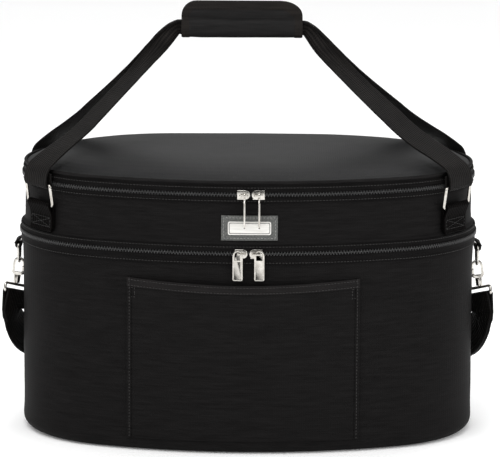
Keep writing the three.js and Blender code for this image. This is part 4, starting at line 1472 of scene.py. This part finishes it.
@dataclass
class HandleFittings:
    """One corner of the handles: the webbing anchor on the wall and the ring in it."""

    corner: str
    turn: float
    out: float = -2.5
    wire: float = 1.6
    ring_half: float = 21.4
    lower_bar: Pair = (3.9, 235.5)
    upper_bar: Pair = (7.0, 256.5)
    loop: float = 2.8
    foot: float = 212.4
    box_z: float = 218.8

    def build(self) -> None:
        """Builds and dresses the anchor, its box of stitches and the ring."""
        title = self.corner.replace("_", " ")
        across, normal = OVAL.along(self.turn), OVAL.normal(self.turn)
        bar_out, bar_z = self.lower_bar
        path = [
            (1.1, self.foot), (1.1, mix(self.foot, bar_z, 0.6)),
            *arc_section(bar_out, bar_z, self.loop, 180, 0, 10),
            (mix(bar_out + self.loop, 3.0, 0.55), bar_z - 5), (3.0, bar_z - 10), (2.9, self.foot + 7),
            (3.0, self.foot + 1), (4.3, self.foot - 2.8),
        ]
        stations = [Station(OVAL.point(self.turn, self.out + out, z), across) for out, z in path]
        anchor = webbing_strap(f"Anchor, {title}", finer(stations, 3), 12)
        # The anchor's darker webbing is painted shade from the strap over it.
        dress(anchor, Finish.ANCHOR_WEBBING, "upper_section", [f"{self.corner}_anchor"])
        lean = Vector((0, 0, 1)) * (self.upper_bar[1] - bar_z) + normal * (self.upper_bar[0] - bar_out)
        middle = OVAL.point(self.turn, self.out + bar_out, bar_z) + lean * 0.5
        outline = rounded_rectangle(self.ring_half, lean.length / 2, 3.0)
        upright = lean.normalized()
        ring = wire(f"Ring, {title}", [middle + across * x + upright * h for x, h in outline], self.wire)
        dress(ring, Finish.NICKEL, f"{self.corner}_ring", [f"{self.corner}_ring"])
        box = rounded_rectangle(16.0, 4.6, 0.5, 1)
        for index, track in enumerate(([*box, box[0]], [box[0], box[4]], [box[2], box[6]]), 1):
            line = [
                OVAL.point(self.turn, self.out + 3.7, self.box_z + z) + across * x
                for x, z in fine_section(track, 1.5)
            ]
            sewing = stitch_line(f"Stitches, anchor {title} {index}", line, lambda i: normal)
            # Its darker thread is painted shade.
            dress(sewing, Finish.ANCHOR_THREAD, "upper_section")


@dataclass
class HandleStrap:
    """One handle: webbing from ring to ring, folded lengthwise where the grip holds it.

    Its sag, lean and droop are pairs for the left and the right half.
    """

    word: str
    ring_turn: float = 54.0
    wall_out: float = -2.5
    bar_out: float = 7.0
    bar_z: float = 256.5
    loop: float = 2.8
    tail: float = 11.0
    grip_x: float = -7.3
    grip_half: float = 60.0
    grip_z: float = 401.5
    fold_y: float = -2.55
    width: float = 38.0
    folded_width: float = 12.0
    sag: Pair = (5.0, 6.5)
    lean: Pair = (8.0, -1.0)
    droop: Pair = (0.0, 3.5)

    def half(self, end: int) -> list[Station]:
        """Stations of one half of the front handle, from its sewn tail round the ring up to the grip.

        Args:
            end: -1 for the left half and 1 for the right one.

        Returns:
            The stations, in order.
        """
        turn = end * self.ring_turn
        along = OVAL.along(turn) * -end
        bar, front = self.bar_out, self.bar_out + self.loop
        path = [
            (bar - self.loop, self.bar_z + self.tail), *arc_section(bar, self.bar_z, self.loop, 180, 360, 9),
            (front, self.bar_z + 4), (front - 0.6, self.bar_z + 9), (front - 2.8, self.bar_z + 14),
            (front - 6.6, self.bar_z + 18.5),
        ]
        rim = [Station(OVAL.point(turn, self.wall_out + out, z), along) for out, z in path]
        sag, lean, droop = (pair[end > 0] for pair in (self.sag, self.lean, self.droop))
        start = rim[-1].middle
        far = self.grip_x + end * (self.grip_half + 10)
        finish = Vector((far, self.fold_y - 1.1, self.grip_z - 3 - droop))
        sideways = Vector((-end, 0, -1)).normalized()
        way = (finish - start).normalized()
        level = (along - way * way.dot(along)).normalized()
        upright = way.cross(level) * -end
        run = []
        for f in (0.1, 0.2, 0.3, 0.4, 0.5, 0.6, 0.7, 0.8, 0.87, 0.94):
            turned = math.radians(mix(-lean * ease(f / 0.2), 85, f**9))
            run.append(Station(
                start.lerp(finish, f) + sideways * sag * ease(f / 0.3) * (1 - f**6),
                level * math.cos(turned) + upright * math.sin(turned),
                mix(self.width, self.folded_width, f**3.2),
            ))
        for past, off, drop in ((5, 0.25, 0.2 + 0.35 * droop), (-3, 0, 0)):
            x = self.grip_x + end * (self.grip_half + past)
            middle = Vector((x, self.fold_y - off, self.grip_z - drop))
            run.append(Station(middle, Vector((0, 0, -1)), self.folded_width))
        return [*rim, *run]

    def build(self) -> None:
        """Builds and dresses the whole handle."""
        stations = [*self.half(-1), *reversed(self.half(1))]
        inner = 1 if self.word == "front" else -1
        if inner < 0:
            stations = [station.over(1) for station in stations]
        strap = self.folded(finer(stations, 4), inner)
        dress(strap, Finish.WEBBING, None, [f"{self.word}_handle_strap"])
        y = OVAL.point(self.ring_turn, self.wall_out + self.bar_out, 0).y * inner * MM
        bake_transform(strap)

    def folded(self, stations: Sequence[Station], inner: int) -> Piece:
        """Lays the webbing so that its edges curl round into a fold as it narrows.

        Args:
            stations: Places along the handle; a narrower width curls the webbing more.
            inner: The sign of y towards the other handle.

        Returns:
            The new piece, closed.
        """
        lengths = run_lengths(stations)

        def curled(index: int, v: float, face: Vector) -> Pair:
            """A point's place in the curl, with the inner face of the grip's part kept inside.

            Args:
                index: The station's number.
                v: The share of the way across.
                face: The way out of the webbing.

            Returns:
                Millimetres aside and off the middle.
            """
            station = stations[index]
            middle = station.middle
            away = Vector((middle.x, middle.y, 0))
            side = face.y * inner if abs(middle.x - self.grip_x) < 150 else face.dot(away)
            curl = (self.width - station.width) / (self.width - self.folded_width)
            far = abs(v - 0.5) * 2
            eased = min(1, far * (1 + 0.9 * curl)) ** (1 - 0.25 * curl)
            bow = station.width / 2 * math.sin(math.pi / 2 * eased)
            aside = mix(far / 2 * station.width, bow, curl)
            deep = curl * (1.2 - 3.6 * ease((far - 0.35) / 0.65))
            wave = 0.15 * noise.noise(Vector((lengths[index] / 25, v * 1.5, 2.0)))
            return math.copysign(aside, v - 0.5), math.copysign(1, side) * (deep + wave)

        strap = strap_skin(f"Handle webbing, {self.word}", stations, 16, curled)
        return rounded(thicken(strap, 1.5, 0.0), 0.35, 2, 60)


@dataclass
class Grip:
    """The padded grip: a wrap under and in front of both handles, and the leaf that closes behind them."""

    x: float = -7.3
    z: float = 401.5
    half: float = 60.0
    roll_y: float = 8.25
    roll_z: float = 9.5
    leaf_y: float = 3.35
    leaf_foot: float = 10.5
    top: float = 26.5
    corner: float = 15.0
    far_corner: float = 22.0
    edge: float = 8.0
    thick: float = 3.0

    def profile(self, side: int, foot: bool) -> list[Pair]:
        """Section of one side as (y, z), from its lower end to the top of the leaf.

        Args:
            side: -1 for the front and 1 for the back.
            foot: Whether it takes in the bottom of the roll.

        Returns:
            Points in millimetres about the grip's middle.
        """
        lower, upper = math.radians(-90 if foot else 20), math.radians(58)
        points = [
            (self.roll_y * abs(math.cos(a)) ** 0.55, self.roll_z * math.copysign(abs(math.sin(a)) ** 0.8, a))
            for a in (mix(lower, upper, i / 18) for i in range(19))
        ]
        y, z = points[-1]
        points += [(mix(y, self.leaf_y - 0.4, ease(t)), mix(z, self.leaf_foot, t)) for t in (0.35, 0.7, 1.0)]
        points += [
            (self.leaf_y + 0.75 * math.sin(math.pi * t), mix(self.leaf_foot, self.top, t))
            for t in (i / 9 for i in range(1, 10))
        ]
        return [(side * y, z) for y, z in points]

    def sideways(self, z: float) -> Pair:
        """The leaf's left and right ends at a height, with its round left corner and its longer right one.

        Args:
            z: The height over the grip's middle.

        Returns:
            Both ends along the grip.
        """
        rise = max(z - (self.top - self.corner), 0) / self.corner
        pulled = 1 - math.sqrt(max(1 - rise**2, 0))
        return -self.half + self.corner * pulled, self.half - self.far_corner * pulled

    def border(self, x: float, z: float) -> float:
        """How far a point lies from the sheet's ends and its top edge, round the corners too.

        Args:
            x: Its place along the grip.
            z: Its height over the grip's middle.

        Returns:
            The distance in millimetres.
        """
        reach = self.corner if x < 0 else self.far_corner
        over_x = (abs(x) - (self.half - reach)) / reach
        over_z = (z - (self.top - self.corner)) / self.corner
        if over_x > 0 and over_z > 0:
            return self.corner * (1 - math.hypot(over_x, over_z))
        return min(self.half - abs(x), self.top - z)

    def build(self) -> None:
        """Builds and dresses the wrap, the leaf and their bound edges."""
        wrap = [*reversed(self.profile(1, True)[:9]), *self.profile(-1, True)[1:]]
        self.shell("Grip wrap", wrap, "front_handle", -1)
        self.shell("Grip leaf", self.profile(1, False), "grip_leaf", 1)

    def shell(self, name: str, section: Sequence[Pair], body: str, side: int) -> None:
        """Builds one padded sheet with a binding along its free edges.

        Args:
            name: The piece's name, which in lower case is the frame node's.
            section: Its outer section as (y, z) about the grip's middle, ending at the top of the leaf.
            body: The frame body it rides on.
            side: -1 for the front and 1 for the back.
        """
        long, edge = 2 * self.half, self.edge
        bound = [0.0, 0.5, *(mix(1.2, edge + 1.6, i / 10) for i in range(11))]
        across = [*bound, *(mix(edge + 4, long - edge - 4, i / 40) for i in range(41))]
        across += [long - c for c in reversed(bound)]
        section = [p for p in section if p[1] <= self.top - edge - 1]
        foot = section[-1][1]
        for z in (mix(foot, self.top, 1 - (1 - i / 12) ** 1.3) for i in range(1, 13)):
            swell = 0.5 * math.sin(math.pi * ease((self.top - z) / edge / 2))
            section.append((side * (self.leaf_y + swell), z))
        lengths = [*accumulate(map(math.dist, section, section[1:]), initial=0.0)]

        def place(u: float, v: float) -> Vector:
            """A point of the sheet, puffed inside its binding.

            Args:
                u: Its share of the way along.
                v: Its share of the way across.

            Returns:
                The point in millimetres.
            """
            y, z = section[round(v * (len(section) - 1))]
            x = mix(*self.sideways(z), across[round(u * (len(across) - 1))] / long)
            border = self.border(x, z)
            raised = 0.45 * ease((edge + 0.3 - border) / 0.6) - 0.7 * ease((1.2 - border) / 1.2)
            puff = 0.5 * ease((border - edge) / 14) * (0.6 + noise.noise(Vector((x / 26, z / 15, side * 5))))
            off = Vector((0, y, z if z < 8 else 0)).normalized()
            return Vector((self.x + x, y, self.z + z)) + off * (raised + puff)

        sheet = laid_grid(name, len(across) - 1, len(section) - 1, place, (long, lengths[-1]))
        for finish in (Finish.GRIP_CLOTH, Finish.GRIP_BINDING):
            sheet.data.materials.append(finish.material)
        for polygon in sheet.data.polygons:
            spot = polygon.center / MM
            polygon.material_index = self.border(spot.x - self.x, spot.z - self.z) < edge + 0.1
        if side > 0:
            edited(sheet, bpy.ops.mesh.flip_normals)
        rounded(thicken(sheet, self.thick), 0.7, 3, 60)
        dress(sheet, None, body, [name.lower().replace(" ", "_")])


def polished(
    node: str, name: str, edge: float, body: str = "", cut: Callable[[Piece], None] | None = None
) -> None:
    """Builds and dresses a cast metal piece from its frame node, with its edges rounded over.

    Args:
        node: The frame node it stands for.
        name: The new piece's name.
        edge: Radius of the rounded edges in millimetres.
        body: The frame body it rides on, where that isn't named as the node is.
        cut: What is done to its shape first.
    """
    piece = merged_copy(node, name)
    if cut:
        cut(piece)
    dress(rounded(piece, edge, angle=34), Finish.NICKEL, body or node, [node], smooth=35.0)


@dataclass
class Pulls:
    """The sliders and their pulls: polished castings, the lower pulls with a raised rim down each side."""

    slider_edge: float = 0.5
    edge: float = 0.22
    rim: float = 1.3
    sunk: float = 0.35

    def build(self) -> None:
        """Builds and dresses the four sliders and the four pulls."""
        for level, cut in (("main", self.channel), ("top", None)):
            for word in ("left", "right"):
                polished(f"{level}_slider_{word}", f"Slider, {level} {word}", self.slider_edge)
                polished(f"{level}_pull_{word}", f"Pull, {level} {word}", self.edge, cut=cut)

    def channel(self, pull: Piece) -> None:
        """Sinks the middle of a pull's outer face, which leaves a rim round it.

        Args:
            pull: The pull.
        """
        mesh = pull.data
        depth = max((p.area, p.center.y) for p in mesh.polygons if p.normal.y < -0.9)[1]
        edited(pull, lambda: bpy.ops.mesh.select_mode(type="FACE"),
               lambda: bpy.ops.mesh.select_all(action="DESELECT"))
        for polygon in mesh.polygons:
            polygon.select = polygon.normal.y < -0.9 and abs(polygon.center.y - depth) < 0.3 * MM
        bpy.ops.object.mode_set(mode="EDIT")
        bpy.ops.mesh.inset(thickness=self.rim * MM, depth=-self.sunk * MM, use_boundary=True)
        bpy.ops.object.mode_set(mode="OBJECT")


@dataclass
class SideFittings:
    """One end of the bag: the webbing tab, its D-ring, the swivel snap hook and the strap's eye."""

    side: int
    turn: float = 100.0
    reach: float = 7.0
    bar_z: float = 180.0
    foot_z: float = 160.0
    half: float = 14.0
    straight: float = 6.0
    corner: float = 2.0
    wire_radius: float = 1.5
    hanger: float = 2.9
    tab_near: float = 1.1
    tab_far: float = 3.0
    tab_top: float = 187.9
    tab_width: float = 24.0
    eye_turn: float = 62.0
    eye_tilt: float = 15.0
    eye_height: float = 8.0
    lean: float = 8.0
    bar_drop: float = -23.8

    def build(self) -> None:
        """Builds and dresses every fitting of the side."""
        word = "left" if self.side < 0 else "right"
        turn = self.side * self.turn
        tab = webbing_strap(f"Side tab, {word}", finer(self.tab_stations(turn), 3))
        dress(tab, Finish.WEBBING, "base", [f"side_tab_{word}"])
        middle = OVAL.point(turn, self.reach, self.bar_z)
        inner = self.half - self.corner
        outline = [
            *arc_section(0, -self.straight, self.half, 180, 360, 24),
            *arc_section(inner, -self.corner, self.corner, 0, 90, 3),
            *arc_section(-inner, -self.corner, self.corner, 90, 180, 3),
        ]
        ring = wire(f"D-ring, {word}", [middle + Vector((0, a, h)) for a, h in outline], self.wire_radius, 4)
        dress(ring, Finish.NICKEL, "base", [f"d_ring_{word}"])
        polished(f"snap_hook_{word}", f"Snap hook, {word}", 0.55)
        polished(f"hook_gate_{word}", f"Hook gate, {word}", 0.3)
        polished(f"strap_eye_{word}", f"Strap eye, {word}", 0.4, "shoulder_strap")

    def tab_stations(self, turn: float) -> list[Station]:
        """Stations of the tab: webbing sewn to the wall that turns round the D-ring's bar.

        Args:
            turn: The tab's turn.

        Returns:
            The stations; each is turned by a share of its own from the wall to the bar.
        """
        near, far, reach, bar_z, hanger = self.tab_near, self.tab_far, self.reach, self.bar_z, self.hanger
        path = [
            (near, self.tab_top, 0.0), (near, bar_z + 5.5, 0.25), (reach - hanger - 0.1, bar_z + 2.2, 0.8),
            *((out, z, 1.0) for out, z in arc_section(reach, bar_z, hanger, 180, 360, 10)),
            (reach + hanger - 0.2, bar_z + 1.8, 0.8), (mix(far, reach, 0.5) + 0.6, bar_z + 4.6, 0.4),
            (far + 0.2, bar_z + 6.4, 0.2), (far, self.tab_top, 0.0),
        ]
        bar = Vector((0, self.side, 0))
        return [
            Station(OVAL.point(turn, out, z), OVAL.along(turn).lerp(bar, share).normalized(), self.tab_width)
            for out, z, share in path
        ]


@dataclass
class StrapRoute:
    """The route of the shoulder strap round the back, as turn, rise and distance off the wall."""

    low: float = 58.0
    clearance: float = 9.0
    half: float = 0.95
    steps: int = 22
    knots: Sequence[tuple[float, float, float]] = (
        (97.5, 54, 3.5), (98.5, 45, 2.5), (102, 35.5, 1.5), (110, 24.5, 1), (124, 13, 1), (144, 4.5, 1),
        (166.0, 1, 0.5), (180, 0, 0),
    )

    @property
    def adjuster(self) -> float:
        """The adjuster's share of the way from the eye to the middle of the back, on a whole step."""
        return round(6 / 7 * self.steps) / self.steps

    def at(self, share: float) -> Vector:
        """A point of the route's left half on a centripetal curve.

        Args:
            share: Its share of the way from the eye to the middle of the back.

        Returns:
            Its turn, its height and its distance off the wall.
        """
        knots = [Vector((turn, self.low + rise, self.clearance + out)) for turn, rise, out in self.knots]
        spans = len(knots) - 1
        index = min(int(share * spans), spans - 1)
        p1, p2 = knots[index : index + 2]
        p0 = knots[index - 1] if index else p1 * 2 - p2
        p3 = knots[index + 2] if index + 2 <= spans else p2 * 2 - p1
        d0, d1, d2 = (max((b - a).length ** 0.5, 1e-4) for a, b in ((p0, p1), (p1, p2), (p2, p3)))
        m1 = ((p1 - p0) / d0 - (p2 - p0) / (d0 + d1) + (p2 - p1) / d1) * d1
        m2 = ((p2 - p1) / d1 - (p3 - p1) / (d1 + d2) + (p3 - p2) / d2) * d1
        return curve_point((p1, p2), m1, m2, share * spans - index)

    def place(self, share: float, lift: float) -> Vector:
        """A point of the strap's left half in millimetres."""
        spot = self.at(min(max(share, 0.0), 1.0))
        return OVAL.point(-spot.x, spot.z + lift, spot.y)

    def directions(self, share: float, eye: Vector) -> tuple[Vector, Vector, Vector]:
        """The way along the strap, across it and off the wall, turned to the eye near the eye.

        Args:
            share: The share of the way from the eye to the middle of the back.
            eye: The eye's long way.

        Returns:
            The three ways.
        """
        step = 0.5 / self.steps
        along = (self.place(share + step, 0) - self.place(share - step, 0)).normalized()
        out = OVAL.normal(-self.at(share).x)
        across = along.cross(out).normalized()
        return along, across.lerp(eye, max(0.0, 1 - share * self.steps / 9)).normalized(), out


@dataclass
class ShoulderStrap:
    """The webbing strap that hangs round the back between the two hooks, with its sewn loops and adjuster."""

    route: StrapRoute = field(default_factory=StrapRoute)
    fittings: SideFittings = field(default_factory=lambda: SideFittings(-1))
    eye_loop_radius: float = 2.7
    adjuster_length: float = 26.0
    adjuster_wall: float = 2.2

    def swivel(self) -> tuple[Vector, Vector, Vector, Vector]:
        """Finds how the left eye hangs.

        Returns:
            Its long way, the way its strap leaves, the way off the wall and the middle of its lower bar.
        """
        f = self.fittings
        lean, turn, tilt = (math.radians(a) for a in (f.lean, f.eye_turn, f.eye_tilt))
        down = Vector((-math.sin(lean), 0, -math.cos(lean)))
        along = Vector((math.cos(turn) * math.cos(tilt), math.sin(turn) * math.cos(tilt), -math.sin(tilt)))
        away = Vector((0, 0, -1))
        away = (away - along * away.dot(along)).normalized()
        bar = OVAL.point(-f.turn, f.reach, f.foot_z) - down * f.bar_drop + away * f.eye_height
        return along, away, along.cross(away), bar

    def run(self, start: float, end: float, lift: float) -> list[Station]:
        """Stations along the route between two shares of it, lifted off its middle.

        Args:
            start: The share it starts at.
            end: The share it ends at.
            lift: Millimetres off the middle.

        Returns:
            The stations, in order.
        """
        eye = self.swivel()[0]
        count = max(1, round(abs(end - start) * 4 * self.route.steps))
        shares = [mix(start, end, i / count) for i in range(count + 1)]
        return [Station(self.route.place(s, lift), self.route.directions(s, eye)[1]) for s in shares]

    def eye_loop(self) -> list[Station]:
        """Stations round the eye's lower bar, from the side of the bag to the outside.

        Returns:
            The stations, in order.
        """
        along, away, out, bar = self.swivel()
        radius = self.eye_loop_radius
        path = [(0.7 - radius, 6.0), *arc_section(0, 0, radius, -180, 0, 12), (radius - 0.7, 6.0)]
        return [Station(bar + out * o + away * h, along) for o, h in path]

    def at_adjuster(self, pairs: Sequence[Pair]) -> list[Station]:
        """Stations about the adjuster, from places towards the eye and off the wall.

        Args:
            pairs: The places, in millimetres.

        Returns:
            The stations, in order.
        """
        along, across, out = self.route.directions(self.route.adjuster, self.swivel()[0])
        origin = self.route.place(self.route.adjuster, self.route.half)
        face = across.cross(along)
        face *= math.copysign(1, face.dot(out))
        return [Station(origin - along * near + face * off, across) for near, off in pairs]

    def build(self) -> None:
        """Builds and dresses the strap, its sewing and the adjuster.

        From the left eye the strap runs round the back, over the adjuster's middle bar, round the right eye
        and back to that bar, where it is sewn.
        """
        half, step, share = self.route.half, 1 / self.route.steps, self.route.adjuster
        coil = self.adjuster_wall / math.sqrt(2) + 1.1
        cross = 2 * coil + 1.9
        reach = self.adjuster_length / 2
        slot = reach - self.adjuster_wall - 0.6
        crossing = [
            (-reach - 2, 0), (-slot, 0), (-7.0, cross * 0.45), (-3.6, cross - 0.9), (0, cross),
            (3.6, cross - 0.9), (7.0, cross * 0.45), (slot, 0), (reach + 2, 0),
        ]
        under = -2 * half
        sewn = [(reach + 2, under), (slot, under), (4.2, -0.3), *arc_section(0, coil, coil, 270, 90, 12)]
        right = [
            *self.run(1 - step / 4, share + step, half), *self.at_adjuster(crossing),
            *self.run(share - step, 0, half), *reversed(self.eye_loop()), *self.run(0, share - step, -half),
            *self.at_adjuster(sewn),
        ]
        stations = [
            *self.run(2 * step, 0, -half), *self.eye_loop(), *self.run(0, 1, half),
            *(station.over(0) for station in right),
        ]
        strap = webbing_strap("Shoulder strap", stations, ruffle=0.1)
        dress(strap, Finish.WEBBING, "shoulder_strap", ["shoulder_strap"])
        polished("strap_adjuster", "Strap adjuster", 0.5, "shoulder_strap")
        for title, sewn_at, side in (("left", 1.6 * step, -1), ("right", 2.4 * step, 1)):
            station = self.run(sewn_at, sewn_at, half)[0]
            if side > 0:
                station = station.over(0)
            out = OVAL.normal(side * self.route.at(sewn_at).x)
            up = station.across.cross(out).normalized()
            track = fine_section([*rounded_rectangle(15.5, 4.0, 0.5, 1), (15.5, 3.5)], 1.5)
            line = [station.middle + station.across * x + up * z + out * 0.8 for x, z in track]
            sewing = stitch_line(f"Stitches, strap {title}", line, lambda i: out)
            dress(sewing, Finish.THREAD, "shoulder_strap")


@dataclass
class Studio:
    """The pale floor, the soft lights and the camera of the photograph."""

    location: tuple[float, float, float] = (0.010, -4.094, 0.944)
    focal_px: float = 4162.0
    width_px: float = 500.0
    sensor: float = 36.0
    pitch: float = 0.180
    roll: float = 0.006
    yaw: float = -0.002
    floor_size: float = 40.0
    room: Sequence[tuple[float, str]] = (
        (0.0, "606060"), (0.46, "1c1c1c"), (0.56, "2a2a2a"), (0.64, "ffffff"), (0.78, "ffffff"),
        (0.86, "303030"),
    )
    lamps: Sequence[tuple[str, tuple[float, float, float], float, float]] = (
        ("Key", (-0.5, -1.2, 2.2), 1.6, 26.0), ("Fill", (1.8, -1.4, 1.1), 1.4, 9.0),
        ("Top", (0.2, 0.9, 2.0), 1.4, 12.0),
    )

    def build(self) -> None:
        """Sets the stage: a wide floor, the room, the lamps and the camera."""
        select_only()
        bpy.ops.mesh.primitive_plane_add(size=1)
        floor = bpy.context.object
        floor.name = "paper_floor"
        floor.scale = (self.floor_size, self.floor_size, 1)
        bpy.ops.object.transform_apply(location=False, rotation=False, scale=True)
        floor.data.materials.append(PaleBackdrop("White paper", "fbfbfb", "ffffff").build())
        self.build_room()
        for name, place, size, power in self.lamps:
            lamp = bpy.data.lights.new(name, "AREA")
            lamp.energy, lamp.size = power, size
            light = in_scene(name, lamp)
            light.location = place
            light.rotation_euler = (Vector((0, 0, 0.2)) - Vector(place)).to_track_quat("-Z", "Y").to_euler()
        self.build_camera()
        bpy.context.scene.view_settings.view_transform = "Standard"

    def build_room(self) -> None:
        """Lights the room evenly; metal mirrors its bands, and all else sees it white."""
        world = bpy.data.worlds.new("Soft room")
        bpy.context.scene.world = world
        world.use_nodes = True
        tree = world.node_tree
        ray = add_node(tree, "TexCoord").outputs["Generated"]
        direction = add_node(tree, "SeparateXYZ", links={"Vector": ray})
        raised = {"operation": "MULTIPLY_ADD", 1: 0.5, 2: 0.5}
        height = add_node(tree, "Math", raised, {0: direction.outputs["Z"]}).outputs["Value"]
        room = add_node(tree, "ValToRGB", {"stops": self.room}, {"Fac": height}).outputs["Color"]
        glossy = add_node(tree, "LightPath").outputs["Is Glossy Ray"]
        seen = add_node(tree, "Mix", {"data_type": "RGBA", 6: linear("ffffff")}, {0: glossy, 7: room})
        background = tree.nodes["Background"]
        tree.links.new(seen.outputs[2], background.inputs["Color"])
        background.inputs["Strength"].default_value = 0.9

    def build_camera(self) -> None:
        """Sets the camera of the photograph: far off, a little above and looking slightly down."""
        camera = bpy.data.cameras.new("Photograph")
        camera.sensor_width = self.sensor
        camera.sensor_fit = "HORIZONTAL"
        camera.lens = self.focal_px / self.width_px * self.sensor
        camera.clip_end = 60
        (s, sp, sr), (c, cp, cr) = (
            [wave(angle) for angle in (self.yaw, self.pitch, self.roll)] for wave in (math.sin, math.cos)
        )
        forward, right, up = Vector((cp * s, cp * c, -sp)), Vector((c, -s, 0)), Vector((sp * s, sp * c, cp))
        eye = in_scene("Photograph", camera)
        eye.matrix_world = axes(right * cr + up * sr, up * cr - right * sr, -forward, self.location)
        bpy.context.scene.camera = eye


def main() -> None:
    """Builds the bag from the ground up and sets the stage round it."""
    logging.basicConfig(level=logging.INFO, format="%(name)s: %(message)s")
    corners = {"front_left": -54.0, "front_right": 54.0, "back_left": -126.0, "back_right": 126.0}
    for part in (
        LowerBody(),
        Pocket(),
        Closure("Main", "Main", 200.0, 0.0, 11.0, 8.0, ("base", "upper_section")),
        UpperSection(),
        Label(),
        Closure("Top", "Lid", 257.5, -2.5, 8.0, 8.0, ("upper_section", "lid")),
        Lid(),
        *(HandleFittings(corner, turn) for corner, turn in corners.items()),
        HandleStrap("front"),
        HandleStrap("back", lean=(-2.0, -6.0)),
        Grip(),
        Pulls(),
        SideFittings(-1),
        SideFittings(1),
        ShoulderStrap(),
        Studio(),
    ):
        part.build()


if __name__ == "__main__":
    main()
